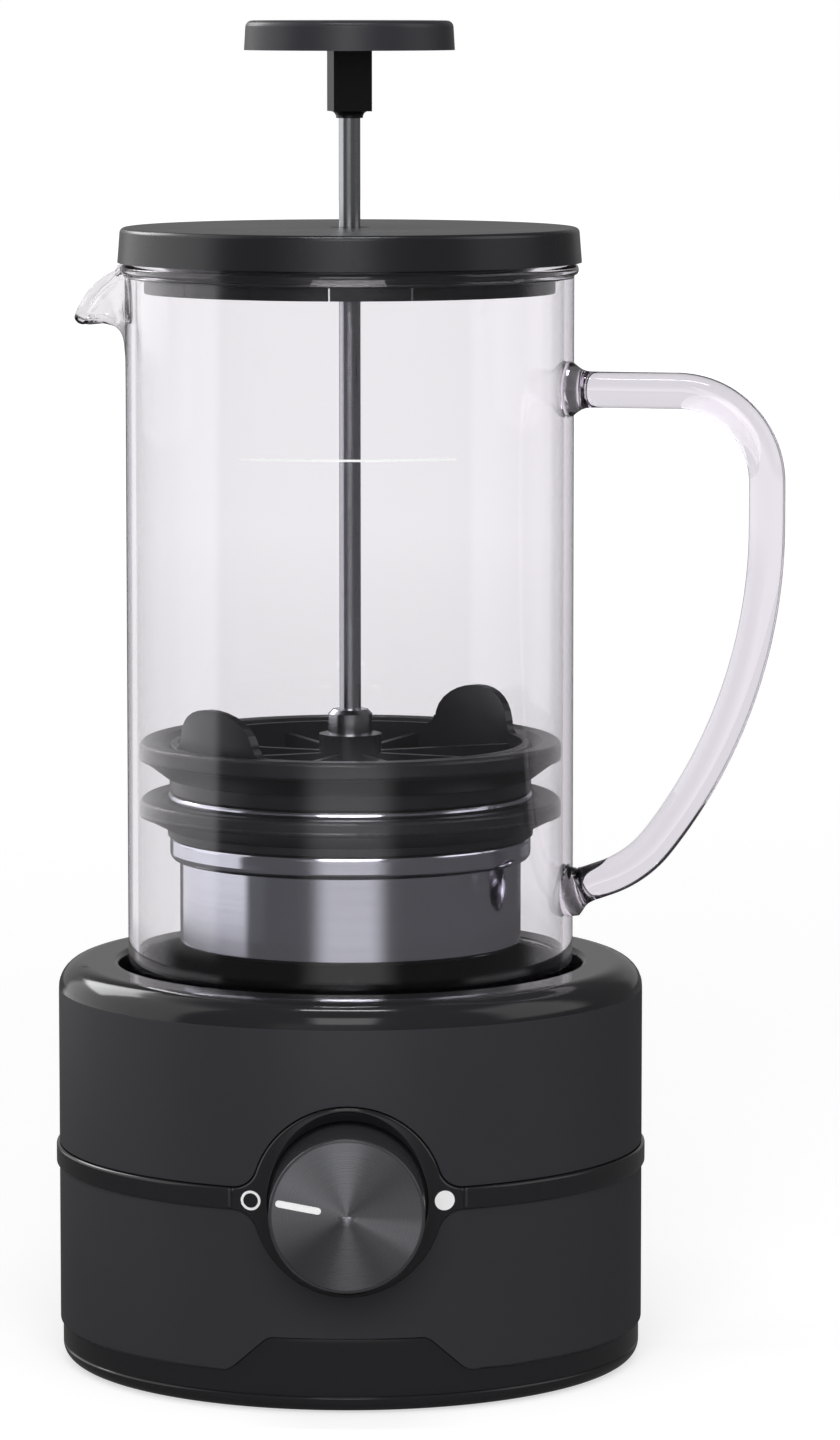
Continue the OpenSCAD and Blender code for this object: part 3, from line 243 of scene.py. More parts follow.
gloss_black = moulding("gloss_black", hex_colour("#222224"), 0.14, grain=500, depth=0.0, cloud=0.05)
points = plinth_mesh()
plinth = mesh_piece("plinth_band", points, [grid_faces(*points.shape[:2], wrap_rows=True)], gloss_black, "base",
                    "gloss_black")
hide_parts("plinth")

# ---------- Motor, switch and board inside the base ----------
# A can motor hangs from a steel bracket on three posts, a rotary switch is nutted behind the dial, and
# a small board feeds both. Tinned leads and the cord bushing are what a service hand would see.
machined_steel = moulding("machined_steel", hex_colour("#a9adb2"), 0.3, grain=1200, depth=0.03, cloud=0.1,
                          metallic=1.0)
magnet_nickel = moulding("magnet_nickel", hex_colour("#b4b2ac"), 0.2, grain=500, depth=0.02, cloud=0.08, metallic=1.0)
inner_plastic = moulding("inner_plastic", hex_colour("#262628"), 0.5, grain=1800, depth=0.08)
solder_mask = moulding("solder_mask", hex_colour("#1d5c37"), 0.3, grain=500, depth=0.05, cloud=0.2, coat=0.4)
component_black = moulding("component_black", hex_colour("#2b2b2c"), 0.45, grain=1300, depth=0.08, cloud=0.15)
lead_insulation = moulding("lead_insulation", hex_colour("#8c2b22"), 0.4, grain=900, depth=0.03, cloud=0.1)
dress(zinc_plate, "motor_can", "motor_bracket", "switch_nut")
dress(machined_steel, "bracket_screws", "motor_shaft", "switch_shaft")
dress(magnet_nickel, "drive_magnets", "stirrer_magnets")
dress(inner_plastic, "motor_end_cap", "rotary_switch", "magnet_carrier", "stirrer", "rod_guide")
dress(solder_mask, "circuit_board")
dress(component_black, "board_parts")
dress(lead_insulation, "wire_leads")
dress(foot_rubber, "cord_bushing")

# ---------- Lower and upper housing ----------
# Two satin shells in one dark grey plastic. The upper one ends in a polished shoulder ring, which
# meets the satin wall at a crisp line and turns over into the well.
shoulder_line = 0.0846


def housing_plastic(name, polished_above):
    """Satin moulding whose roughness and colour change to a polish above a height, over 0.1 mm."""
    material = moulding(name, hex_colour("#303034"), 0.42, grain=2400, depth=0.02, cloud=0.04, specular=0.45)
    tree = material.node_tree
    shader = tree.nodes["Principled BSDF"]
    place = put(tree, "ShaderNodeTexCoord").outputs["Object"]
    z = put(tree, "ShaderNodeSeparateXYZ", {0: place}).outputs["Z"]
    mask = spread(tree, z, 0.0, 1.0, polished_above, polished_above + 0.0001)
    satin_colour = shader.inputs["Base Color"].links[0].from_socket
    satin_rough = shader.inputs["Roughness"].links[0].from_socket
    colour = put(tree, "ShaderNodeMix", {0: mask, 6: satin_colour}, data_type="RGBA")
    colour.inputs[7].default_value = (*hex_colour("#232325"), 1)
    tree.links.new(colour.outputs[2], shader.inputs["Base Color"])
    rough = put(tree, "ShaderNodeMix", {0: mask, 2: satin_rough, 3: 0.12}, data_type="FLOAT")
    tree.links.new(rough.outputs[0], shader.inputs["Roughness"])
    return material


satin_housing = housing_plastic("satin_housing", shoulder_line)
dress(satin_housing, "lower_housing", "upper_housing")

# ---------- Waist belt with the dial's bezel ----------
# One glossy moulding clips into a groove right round the base. At the front it swells through four
# coves into a round bezel, and dips in a cone to the pocket that the knob turns in.
waist_z, belt_half, belt_r = 0.0471, 0.0024, 0.0664
bezel_r, bezel_cove, belt_round = 0.0208, 0.0055, 0.0006
pocket_r, pocket_y, pocket_wall = 0.0175, 0.0629, 0.0014
dial_low_y, dial_slope = 0.0643, 2.1 / 2.6
shaft_hole_r, pocket_floor_r, lip_most = 0.00455, 0.0172, 0.0205


def front_point(x, z, depth):
    """Point of the front view at x and z from the knob's axis, depth in front of the base's axis plane."""
    return np.stack(np.broadcast_arrays(x, -depth, waist_z + z), -1)


def on_drum(x, z, r):
    """The front view's point on a drum of radius r round the base's axis."""
    return front_point(x, z, np.sqrt(np.maximum(r * r - x * x, 0)))


def bezel_outline(step_arc=44, step_cove=16, step_cut=9):
    """Closed outline in the front view, anticlockwise from the right cut: points and outward normals.

    The cut is the straight line where the belt's strap takes over, cx = sqrt((r + c)^2 - (h + c)^2).
    """
    h, c, r = belt_half, bezel_cove, bezel_r
    cx = math.sqrt((r + c) ** 2 - (h + c) ** 2)
    a = math.atan2(h + c, cx)
    cove_a = np.linspace(3 * math.pi / 2, math.pi + a, step_cove)
    cove = np.stack([cx + c * np.cos(cove_a), h + c + c * np.sin(cove_a)], -1)
    cove_n = np.stack([-np.cos(cove_a), -np.sin(cove_a)], -1)
    arc_a = np.linspace(a, math.pi / 2, step_arc)[1:]
    arc = np.stack([r * np.cos(arc_a), r * np.sin(arc_a)], -1)
    quarter = np.concatenate([cove, arc])
    normal = np.concatenate([cove_n, arc / r])
    flat = belt_half - belt_round
    cut_z = np.linspace(0, flat, step_cut)[:-1]
    cut = np.stack([np.full_like(cut_z, cx), cut_z], -1)
    quarter = np.concatenate([cut, quarter])
    normal = np.concatenate([np.zeros_like(cut), normal])
    second = quarter[-2::-1] * (-1, 1)
    second_n = normal[-2::-1] * (-1, 1)
    upper, upper_n = np.concatenate([quarter, second]), np.concatenate([normal, second_n])
    outline, normal = (np.concatenate([half, half[-2:0:-1] * (1, -1)]) for half in (upper, upper_n))
    return outline, normal, cx


def edge_section(steps=7):
    """Rounded edge of the belt, a quarter circle of belt_round: how far in from the outline and below the drum."""
    a = np.linspace(math.pi / 2, 0, steps)
    return belt_round * (1 - np.cos(a)), belt_round * (1 - np.sin(a))


def bezel_mesh():
    """Closed rows from the hole in the pocket's floor over the cone and face to the outline, and back behind it."""
    outline, normal, cx = bezel_outline()
    angle = np.arctan2(outline[:, 1], outline[:, 0])
    c, s = np.cos(angle), np.sin(angle)
    cone_y = lambda r: dial_low_y + (r - pocket_r) * dial_slope
    lip = np.full_like(angle, pocket_r + 0.00002)
    tries = np.linspace(pocket_r + 0.00002, lip_most, 400)[:, None]
    under = cone_y(tries) < np.sqrt(belt_r**2 - (tries * c) ** 2)
    lip = np.maximum(lip, np.where(under, tries, 0).max(0))
    back_y = np.full_like(c, pocket_y - pocket_wall)
    rows = [front_point(shaft_hole_r * c, shaft_hole_r * s, back_y)]
    rows += [front_point(r * c, r * s, np.full_like(c, pocket_y)) for r in (shaft_hole_r, pocket_floor_r)]
    rows += [front_point(pocket_r * c, pocket_r * s, np.full_like(c, pocket_y + 0.0003))]
    start_y = np.minimum(dial_low_y, np.sqrt(belt_r**2 - (pocket_r * c) ** 2))
    rows += [front_point(pocket_r * c, pocket_r * s, start_y - 0.0001)]
    for share in np.linspace(0.02, 1, 6):
        r = pocket_r + (lip - pocket_r) * share
        y = np.minimum(cone_y(r), np.sqrt(belt_r**2 - (r * c) ** 2)) - 0.00002 * (share == 1)
        rows.append(front_point(r * c, r * s, y))
    in_edge, down_edge = edge_section()
    inner = outline - normal * in_edge[0]
    lip_point = np.stack([lip * c, lip * s], -1)
    for share in (0.03, 0.12, 0.3, 0.5, 0.7, 0.88, 0.97):
        p = lip_point + (inner - lip_point) * share
        rows.append(on_drum(p[:, 0], p[:, 1], belt_r))
    is_cut = (np.abs(normal).sum(1) == 0)
    for d, w in zip(in_edge, down_edge):
        p = outline - normal * d
        rows.append(on_drum(p[:, 0], p[:, 1], np.where(is_cut, belt_r, belt_r - w)))
    shell = pocket_r + pocket_wall
    rows.append(on_drum(outline[:, 0], outline[:, 1], housing_in))
    rows.append(on_drum(shell * c, shell * s, housing_in))
    rows.append(front_point(shell * c, shell * s, back_y))
    return np.array(rows), cx


def strap_mesh(cx):
    """The belt's closed section carried round the back, from just inside one cut of the bezel to the other."""
    in_edge, down_edge = edge_section()
    flat = np.linspace(0, belt_half - belt_round, 9)
    z = np.concatenate([flat[:-1], belt_half - in_edge])
    r = np.concatenate([np.full(8, belt_r), belt_r - down_edge])
    z = np.concatenate([-z[:0:-1], z, [belt_half, -belt_half]])
    r = np.concatenate([r[:0:-1], r, [housing_in, housing_in]])
    start = np.arcsin((cx - 0.0002) / r)
    turn = start + (2 * math.pi - 2 * start) * np.linspace(1, 0, 241)[:, None]
    return on_axis(r[None, :], turn - math.pi / 2, waist_z + z[None, :])


points, cut_x = bezel_mesh()
strap, strap_faces = closed_skin(strap_mesh(cut_x))
first = points.shape[0] * points.shape[1]
belt = mesh_piece("belt_and_bezel", np.concatenate([points.reshape(-1, 3), strap]),
                  [grid_faces(*points.shape[:2], wrap_rows=True)] + [block + first for block in strap_faces],
                  gloss_black, "base", "gloss_black")
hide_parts("waist_belt")

# The on and off marks are pad-printed on the bezel in white
white_ink = moulding("white_ink", hex_colour("#f4f4f4"), 0.45, grain=2400, depth=0.05, cloud=0.02)
dress(white_ink, "dial_marks", "knob_pointer", "fill_line")

# ---------- Control knob ----------
# A deep drum in gloss black with a spun metal disc let into its face. The disc's colour carries soft
# wedges of painted highlight and shade, where fine rings would catch the light; a white line printed across it points
# to off.


def compute(tree, operation, *values, **settings):
    """Output of one maths node on plain values or sockets."""
    return put(tree, "ShaderNodeMath", dict(enumerate(values)), operation=operation, **settings).outputs[0]


fine_rings, rings_in, rings_out = new_group(
    "fine_rings", [("Across", "NodeSocketFloat", 0.0), ("Rings", "NodeSocketFloat", 4000.0)], ["Height", "Line"])
at = compute(fine_rings, "MULTIPLY", rings_in.outputs["Across"], rings_in.outputs["Rings"])
ring_noise = put(fine_rings, "ShaderNodeTexNoise", {"W": at, "Scale": 1.0, "Detail": 3.0}, noise_dimensions="1D")
coarse_noise = put(fine_rings, "ShaderNodeTexNoise", {"W": at, "Scale": 0.17, "Detail": 2.0}, noise_dimensions="1D")
fine_rings.links.new(ring_noise.outputs[0], rings_out.inputs["Height"])
fine_rings.links.new(coarse_noise.outputs[0], rings_out.inputs["Line"])


def turned_metal(name, colour, roughness, rings, about="Z", axis_z=0.0, depth=0.1, tone=0.08, anisotropic=0.0):
    """Metal turned on a lathe: rings across the height, or across the radius from the knob's axis (about Y)."""
    material, tree, shader = new_material(name, colour, roughness, 1.0)
    shader.inputs["Anisotropic"].default_value = anisotropic
    place = put(tree, "ShaderNodeTexCoord").outputs["Object"]
    parts = put(tree, "ShaderNodeSeparateXYZ", {0: place})
    across = parts.outputs["Z"]
    if about == "Y":
        up = compute(tree, "SUBTRACT", parts.outputs["Z"], axis_z)
        flat = put(tree, "ShaderNodeCombineXYZ", {"X": parts.outputs["X"], "Z": up}).outputs[0]
        across = put(tree, "ShaderNodeVectorMath", {0: flat}, operation="LENGTH").outputs["Value"]
        tree.links.new(put(tree, "ShaderNodeVectorMath", {0: flat}, operation="NORMALIZE").outputs[0],
                       shader.inputs["Tangent"])
    effect = put(tree, "ShaderNodeGroup", node_tree=fine_rings)
    tree.links.new(across, effect.inputs["Across"])
    effect.inputs["Rings"].default_value = rings
    darker, lighter = tuple(c * (1 - tone) for c in colour), tuple(min(1, c * (1 + tone)) for c in colour)
    tree.links.new(blend_colours(tree, effect.outputs["Line"], darker, lighter), shader.inputs["Base Color"])
    tree.links.new(spread(tree, effect.outputs["Height"], roughness * 0.85, roughness * 1.15, 0.3, 0.7),
                   shader.inputs["Roughness"])
    bump = put(tree, "ShaderNodeBump", {"Height": effect.outputs["Height"], "Strength": depth, "Distance": 0.0001})
    tree.links.new(bump.outputs[0], shader.inputs["Normal"])
    return material


def paint_highlight_wedges(material, axis_z, stops):
    """Base colour times a grey that turns with the angle round the knob's axis: painted highlight and shade in
    wedges, standing in for those that fine rings throw.
    """
    tree = material.node_tree
    shader = tree.nodes["Principled BSDF"]
    parts = put(tree, "ShaderNodeSeparateXYZ", {0: put(tree, "ShaderNodeTexCoord").outputs["Object"]})
    up = compute(tree, "SUBTRACT", parts.outputs["Z"], axis_z)
    angle = compute(tree, "ARCTAN2", up, parts.outputs["X"])
    ramp = put(tree, "ShaderNodeValToRGB", {0: spread(tree, angle, 0, 1, -math.pi, math.pi)})
    ramp.color_ramp.interpolation = "EASE"
    elements = ramp.color_ramp.elements
    for degrees, grey in stops:
        at = (degrees + 180) / 360
        stop = elements[0] if at == 0 else elements[-1] if at == 1 else elements.new(at)
        stop.position, stop.color = at, (grey, grey, grey, 1)
    tone = put(tree, "ShaderNodeMix", {0: 1.0, 6: shader.inputs["Base Color"].links[0].from_socket,
                                       7: ramp.outputs[0]}, data_type="RGBA", blend_type="MULTIPLY")
    tree.links.new(tone.outputs[2], shader.inputs["Base Color"])


knob_drum = moulding("knob_drum", hex_colour("#3a3a3e"), 0.22, grain=800, depth=0.0, cloud=0.05)
spun_disc = turned_metal("spun_disc", hex_colour("#a5a5ab"), 0.3, 12000, about="Y", axis_z=waist_z, depth=0.002,
                         tone=0.03, anisotropic=0.94)
# Painted highlight and shade: lighter and darker wedges round the disc's axis, in its base colour
paint_highlight_wedges(spun_disc, waist_z, [
    (-180, 0.68), (-165, 0.62), (-135, 0.40), (-112, 0.46), (-88, 0.58), (-60, 0.50), (-38, 0.62), (-24, 0.98),
    (-12, 0.86), (2, 0.52), (36, 0.46), (60, 0.62), (92, 0.80), (122, 0.84), (150, 0.98), (166, 0.80), (180, 0.68)])
dress(knob_drum, "control_knob")
dress(spun_disc, "knob_cap")

# ---------- Well and its pad ----------
# The carafe stands in a deep gloss cup of black plastic, let into the upper housing. A rubber ring
# on its floor keeps the glass from ringing.
pad_rubber = moulding("pad_rubber", hex_colour("#1a1a1c"), 0.6, grain=3800, depth=0.03, cloud=0.1, specular=0.35)
well_gloss = moulding("well_gloss", hex_colour("#161618"), 0.16, grain=900, depth=0.02, cloud=0.08)
dress(well_gloss, "carafe_well")
dress(pad_rubber, "well_pad")

# ---------- Glass carafe ----------
# One blown and turned borosilicate beaker: a thick floor with a pivot pip, a straight wall, a beaded
# rim, and a beak pulled out of the hot wall over the handle's opposite side.
glass_r, glass_wall, glass_z, glass_floor = 0.0500, 0.0022, 0.0575, 0.0599
rim_z, bead_out, bead_h = 0.2468, 0.0010, 0.0026
pivot_r, pivot_h, pivot_cove, pivot_round = 0.0025, 0.0030, 0.0008, 0.0006
outer_corner, inner_corner, straight_from = 0.005, 0.0028, 0.066
spout_reach = spout_drop = 0.0137
spout_azimuth, spout_base, spout_half = math.radians(166), 0.2225, 0.0125
spout_path = np.array([(0, 0.2225), (0.0006, 0.2243), (0.0013, 0.2262), (0.0018, 0.2286), (0.0026, 0.2305),
                       (0.0042, 0.2320), (0.0072, 0.2327), (0.0106, 0.2323), (0.0128, 0.2326), (0.0137, 0.2331)])
spout_rim = np.array([(0, 0.0137, 0, 0.2331), (0.10, 0.0134, 0.0016, 0.2337), (0.22, 0.0124, 0.0030, 0.2355),
                      (0.40, 0.0098, 0.0047, 0.2395), (0.60, 0.0060, 0.0068, 0.2430), (0.80, 0.0022, 0.0095, 0.2455),
                      (1.0, 0.0, 0.0125, 0.2468)])


def along(path, share):
    """Point at a share of a path's length, each coordinate eased by a smooth three-point mean."""
    length = np.concatenate([[0], np.cumsum(np.hypot(*np.diff(path, axis=0).T))])
    dense = np.linspace(0, length[-1], 241)
    flow = np.stack([np.interp(dense, length, path[:, k]) for k in (0, 1)], -1)
    for _ in range(60):
        flow[1:-1] = (flow[:-2] + 2 * flow[1:-1] + flow[2:]) / 4
    return np.stack([np.interp(share * length[-1], dense, flow[:, k]) for k in (0, 1)], -1)


def carafe_rows():
    """Rows of the glass skin from the outer pole round the rim to the inner pole, columns round the axis.

    Above spout_base the wall is lent to the spout: at share a of the spout's half width the point at share v
    of the height moves out by the rim's reach at a times the beak path's reach at v, and sinks likewise.
    """
    near = np.linspace(-1, 1, 141) ** 3 * 0.25 + np.linspace(-1, 1, 141) * 0.75
    width = math.asin(spout_half / glass_r) * 1.12
    azimuth = np.concatenate([near * width, np.linspace(width, 2 * math.pi - width, 260)[1:-1]])
    azimuth = azimuth + spout_azimuth
    off = (azimuth - spout_azimuth + math.pi) % (2 * math.pi) - math.pi
    side = np.clip(np.abs(off) / width, 0, 1) * np.sign(off)
    a = np.abs(side)
    reach = np.interp(a, spout_rim[:, 0], spout_rim[:, 1]) / spout_reach
    drop = (rim_z - np.interp(a, spout_rim[:, 0], spout_rim[:, 3])) / spout_drop
    narrow = np.interp(a, spout_rim[:, 0], spout_rim[:, 2]) * np.sign(side)
    kernel = np.array([1, 2, 3, 2, 1]) / 9
    smooth = lambda q: np.convolve(np.concatenate([q[-2:], q, q[:2]]), kernel, "valid")
    reach, drop = smooth(reach), smooth(drop)
    v = np.linspace(0, 1, 56)[:, None]
    beak = along(spout_path, v[:, 0])
    straight_z = spout_base + (rim_z - spout_base) * v
    out = beak[:, :1] * reach[None]
    z = straight_z + (beak[:, 1:] - straight_z) * drop[None]
    wide = glass_r * np.sin(off)
    ahead = glass_r * np.cos(off)
    ease = v**1.5 * (reach[None] ** 0.7) * (a < 1)
    lateral = wide[None] + (narrow - wide)[None] * ease
    forward = ahead[None] + out
    c, s = math.cos(spout_azimuth), math.sin(spout_azimuth)
    outer = np.stack([forward * c - lateral * s, forward * s + lateral * c, z], -1)
    across = np.roll(outer, -1, 1) - np.roll(outer, 1, 1)
    upward = np.gradient(outer, axis=0)
    normal = np.cross(across, upward)
    normal /= np.linalg.norm(normal, axis=-1, keepdims=True)
    upward /= np.linalg.norm(upward, axis=-1, keepdims=True)
    wall = glass_wall - 0.0006 * v * reach[None]
    height_left = (1 - v) * (rim_z - spout_base)
    bead = np.sqrt(np.clip(1 - ((height_left - bead_h / 2) / (bead_h / 2)) ** 2, 0, 1)) * bead_out
    bead = bead * (1 - 0.8 * np.clip(reach * 3, 0, 1))[None]
    skin = outer + normal * bead[..., None]
    inside = outer - normal * wall[..., None]
    half = wall[-1] / 2
    half = half[:, None]
    lip = [outer[-1] - normal[-1] * half + half * (math.cos(b) * normal[-1] + math.sin(b) * upward[-1] * 0.8)
           for b in np.radians([25, 50, 75, 90, 105, 130, 155])]
    flat = lambda section: [on_axis(r, azimuth, z_) for r, z_ in section]
    ir, pivot_z = glass_r - glass_wall, glass_floor + pivot_h
    low = np.concatenate([[(0.004, glass_z), (0.02, glass_z), (0.038, glass_z)],
                          round_corner(glass_r - outer_corner, glass_z + outer_corner, outer_corner, -90, 0, 12),
                          [(glass_r, z_) for z_ in np.linspace(straight_from, spout_base - 0.001, 12)]])
    high = np.concatenate([[(ir, z_) for z_ in np.linspace(spout_base - 0.001, straight_from, 12)],
                           round_corner(ir - inner_corner, glass_floor + inner_corner, inner_corner, 0, -90, 10),
                           [(0.03, glass_floor), (0.012, glass_floor)],
                           round_corner(pivot_r + pivot_cove, glass_floor + pivot_cove, pivot_cove, -90, -180, 5),
                           round_corner(pivot_r - pivot_round, pivot_z - pivot_round, pivot_round, 0, 90, 5),
                           [(0.0008, pivot_z)]])
    return np.array(flat(low) + list(skin) + lip + list(inside[::-1]) + flat(high))


def clear_glass(name, tint, density):
    """Clear borosilicate: transmission with a plain absorption inside, and soft shadows let through."""
    material, tree, shader = new_material(name, (1, 1, 1), 0.0)
    shader.inputs["Transmission Weight"].default_value = 1.0
    shader.inputs["IOR"].default_value = 1.5
    output = tree.nodes["Material Output"]
    clear = put(tree, "ShaderNodeBsdfTransparent", {"Color": (0.93, 0.935, 0.94, 1)})
    shadow = put(tree, "ShaderNodeLightPath").outputs["Is Shadow Ray"]
    mix = put(tree, "ShaderNodeMixShader", {0: shadow, 1: shader.outputs[0], 2: clear.outputs[0]})
    tree.links.new(mix.outputs[0], output.inputs["Surface"])
    inside = put(tree, "ShaderNodeVolumeAbsorption", {"Color": (*tint, 1), "Density": density})
    tree.links.new(inside.outputs[0], output.inputs["Volume"])
    return material


glass = clear_glass("borosilicate", (0.85, 0.82, 0.865), 220.0)
carafe = mesh_piece("carafe_blown", *closed_skin(carafe_rows()), glass, "carafe", "glass")
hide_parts("carafe_glass")

# ---------- Carafe handle ----------
# A solid glass rod, bent to an ear while hot. It is welded to the wall at both ends, where the soft
# glass flared.
handle_azimuth, handle_z, rod_r, root_r = math.radians(-14), 0.2195, 0.0040, 0.0063
run_end, bend_r, upright_x, upright_low = 0.0748, 0.020, 0.0948, -0.0295
sweep_r, tuck_r, sweep_turn, tuck_turn = 0.115, 0.026, 38, 70


def handle_line():
    """Centre line in the handle's plane: level run, bend, upright, wide sweep, tuck and a leaning run back."""
    run = np.stack([np.linspace(glass_r, run_end, 26), np.zeros(26)], -1)
    bend = round_corner(run_end, -bend_r, bend_r, 90, 0, 26)[1:]
    upright = np.stack([np.full(6, upright_x), np.linspace(-bend_r, upright_low, 6)], -1)[1:]
    sweep = round_corner(upright_x - sweep_r, upright_low, sweep_r, 0, -sweep_turn, 44)[1:]
    end, turned = sweep[-1], math.radians(sweep_turn)
    tuck = round_corner(end[0] - tuck_r * math.cos(turned), end[1] + tuck_r * math.sin(turned), tuck_r,
                        -sweep_turn, -tuck_turn, 14)[1:]
    last = tuck[-1]
    x = np.linspace(last[0], glass_r, 14)[1:]
    back = np.stack([x, last[1] - (last[0] - x) / math.tan(math.radians(tuck_turn))], -1)
    return np.concatenate([run, bend, upright, sweep, tuck, back])


def handle_mesh(sides=32):
    """Circle carried along the centre line; its radius flares to the root as exp(-(d / 2.4 mm)^2) near the wall."""
    line = handle_line()
    step = np.gradient(line, axis=0)
    step /= np.linalg.norm(step, axis=1, keepdims=True)
    gap = np.minimum(np.concatenate([[0], np.cumsum(np.hypot(*np.diff(line, axis=0).T))]),
                     np.concatenate([np.cumsum(np.hypot(*np.diff(line[::-1], axis=0).T))[::-1], [0]]))
    radius = rod_r + (root_r - rod_r) * np.exp(-((gap / 0.0024) ** 2))
    b = np.linspace(0, 2 * math.pi, sides, endpoint=False)
    normal = np.stack([-step[:, 1], step[:, 0]], -1)
    x = line[:, :1] + radius[:, None] * np.cos(b) * normal[:, :1]
    z = line[:, 1:] + radius[:, None] * np.cos(b) * normal[:, 1:]
    y = -radius[:, None] * np.sin(b) * np.ones_like(x)
    wall_x = np.sqrt((glass_r + 0.00004) ** 2 - y**2)
    x = np.where(gap[:, None] < 1e-9, wall_x, np.maximum(x, wall_x))
    c, s = math.cos(handle_azimuth), math.sin(handle_azimuth)
    return np.stack([x * c - y * s, x * s + y * c, handle_z + z], -1)


handle = mesh_piece("handle_rod", *closed_skin(handle_mesh()), glass, "carafe", "glass")
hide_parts("carafe_handle")

# ---------- Lid ----------
# A satin cap sits on the rim; a slotted skirt and a soft ring under it centre it in the glass, and
# a low-friction guide lets the rod run through.
lid_satin = moulding("lid_satin", hex_colour("#1a1a1e"), 0.28, grain=3000, depth=0.01, cloud=0.05, specular=0.7)
seal_rubber = moulding("seal_rubber", hex_colour("#151518"), 0.36, grain=3800, depth=0.002, cloud=0.06, specular=0.6)
insert_gloss = moulding("insert_gloss", hex_colour("#131315"), 0.25, grain=600, depth=0.004, cloud=0.06)
dress(lid_satin, "lid_cover")
dress(insert_gloss, "lid_insert")
dress(seal_rubber, "lid_seal")

# ---------- Plunger ----------
# A round satin grip on a square gloss stem, both moulded in black plastic. They are pressed on a
# drawn steel rod that ends in a turned ferrule.
grip_satin = moulding("grip_satin", hex_colour("#2c2c31"), 0.4, grain=3000, depth=0.01, cloud=0.05, specular=0.6)
stem_gloss = moulding("stem_gloss", hex_colour("#0d0d0f"), 0.2, grain=800, depth=0.005, cloud=0.06)
drawn_steel = turned_metal("drawn_steel", hex_colour("#c9cacf"), 0.2, 6000, depth=0.001, tone=0.02)
dress(grip_satin, "plunger_knob")
dress(stem_gloss, "knob_stem")
dress(drawn_steel, "plunger_rod", "rod_ferrule")

# ---------- Filter ----------
# A ribbed plastic cover with two finger wings holds a pressed steel cup with a polished bead; woven
# steel discs close both, and two lip seals of silicone wipe the glass.
cover_plastic = moulding("cover_plastic", hex_colour("#18181b"), 0.3, grain=1500, depth=0.002, cloud=0.05)
cup_steel = turned_metal("cup_steel", hex_colour("#e4e6f0"), 0.11, 2200, depth=0.002, tone=0.03)
dress(cover_plastic, "filter_cover")
dress(seal_rubber, "cover_seal", "cup_seal")
dress(cup_steel, "filter_cup")


def woven_steel(name, pitch):
    """Plain weave of wires: two crossed sine waves of one pitch bump the face; the gaps between wires get painted
    shade in place of openings.
    """
    material, tree, shader = new_material(name, hex_colour("#8d9094"), 0.35, 1.0)
    place = put(tree, "ShaderNodeTexCoord").outputs["Object"]
    parts = put(tree, "ShaderNodeSeparateXYZ", {0: place})
    waves = []
    for axis in "XY":
        at_wire = compute(tree, "MULTIPLY", parts.outputs[axis], math.pi / pitch)
        wave = compute(tree, "SINE", at_wire)
        waves.append(compute(tree, "ABSOLUTE", wave))
    wires = compute(tree, "MAXIMUM", waves[0], waves[1])
    # Painted shade: the gaps between the wires go near-black, standing in for the openings
    gap = spread(tree, wires, 0, 1, 0.6, 0.9)
    colour = blend_colours(tree, gap, hex_colour("#1a1a1b"), hex_colour("#9b9ea3"))
    tree.links.new(colour, shader.inputs["Base Color"])
    bump = put(tree, "ShaderNodeBump", {"Height": wires, "Strength": 0.6, "Distance": 0.0002})
    tree.links.new(bump.outputs[0], shader.inputs["Normal"])
    return material


steel_weave = woven_steel("steel_weave", 0.0005)
dress(steel_weave, "cover_mesh", "cup_mesh")

# ---------- Floor, light and camera ----------
# A plain pale floor under six soft boxes. Metal and gloss see three: over the camera, at the left
# rear and a strip overhead. The backdrop is white to the camera and through glass, and in
# reflections it is white only where its walls stand.
aim_z = 0.14


def light_box(name, azimuth, elevation, distance, width, height, radiance):
    """Area lamp aimed at the axis at aim_z, its azimuth clockwise from the camera's side; P = pi A L."""
    lamp = bpy.data.lights.new(name, "AREA")
    lamp.shape, lamp.size, lamp.size_y = "RECTANGLE", width, height
    lamp.energy = math.pi * width * height * radiance
    box = bpy.data.objects.new(name, lamp)
    a, e = math.radians(azimuth), math.radians(elevation)
    box.location = (distance * math.cos(e) * math.sin(a), -distance * math.cos(e) * math.cos(a),
                    aim_z + distance * math.sin(e))
    box.rotation_euler = (math.pi / 2 - e, 0, a)
    box.visible_camera = False
    bpy.context.scene.collection.objects.link(box)
    return box


light_box("front_box", -2, 29, 1.25, 0.5, 0.6, 2.2)
light_box("rear_left_box", -136, 30, 1.2, 0.62, 0.46, 4.2).visible_diffuse = False
light_box("top_strip", -6, 78, 1.1, 0.42, 0.05, 24.0)
for lamp in (light_box("left_box", -112, 26, 1.0, 0.95, 1.0, 0.35),
             light_box("right_box", 86, 30, 1.1, 0.7, 0.7, 0.5),
             light_box("front_fill", 0, 22, 1.5, 1.0, 0.8, 5.0)):
    lamp.visible_glossy = False

world = bpy.data.worlds.new("white_studio")
bpy.context.scene.world = world
world.use_nodes = True
sky = world.node_tree
for node in list(sky.nodes):
    sky.nodes.remove(node)


def both_masks(tree, first, second):
    """Product of two masks."""
    return compute(tree, "MULTIPLY", first, second)


def window(tree, value, start, end, soft, fade=None):
    """1 while value lies between start and end, falling smoothly to 0 over soft (and fade) at its ends."""
    ramps = [(start - soft, start + soft, 0, 1), (end - (fade or soft), end + (fade or soft), 1, 0)]
    masks = [put(tree, "ShaderNodeMapRange", {"Value": value, "From Min": a, "From Max": b, "To Min": first,
                                              "To Max": last}, interpolation_type="SMOOTHSTEP").outputs[0]
             for a, b, first, last in ramps]
    return both_masks(tree, *masks)


def turn_round(tree, x, y):
    """Azimuth in degrees clockwise from the camera's side: atan2(x, -y)."""
    toward = compute(tree, "MULTIPLY", y, -1.0)
    angle = compute(tree, "ARCTAN2", x, toward)
    return compute(tree, "MULTIPLY", angle, 180 / math.pi)


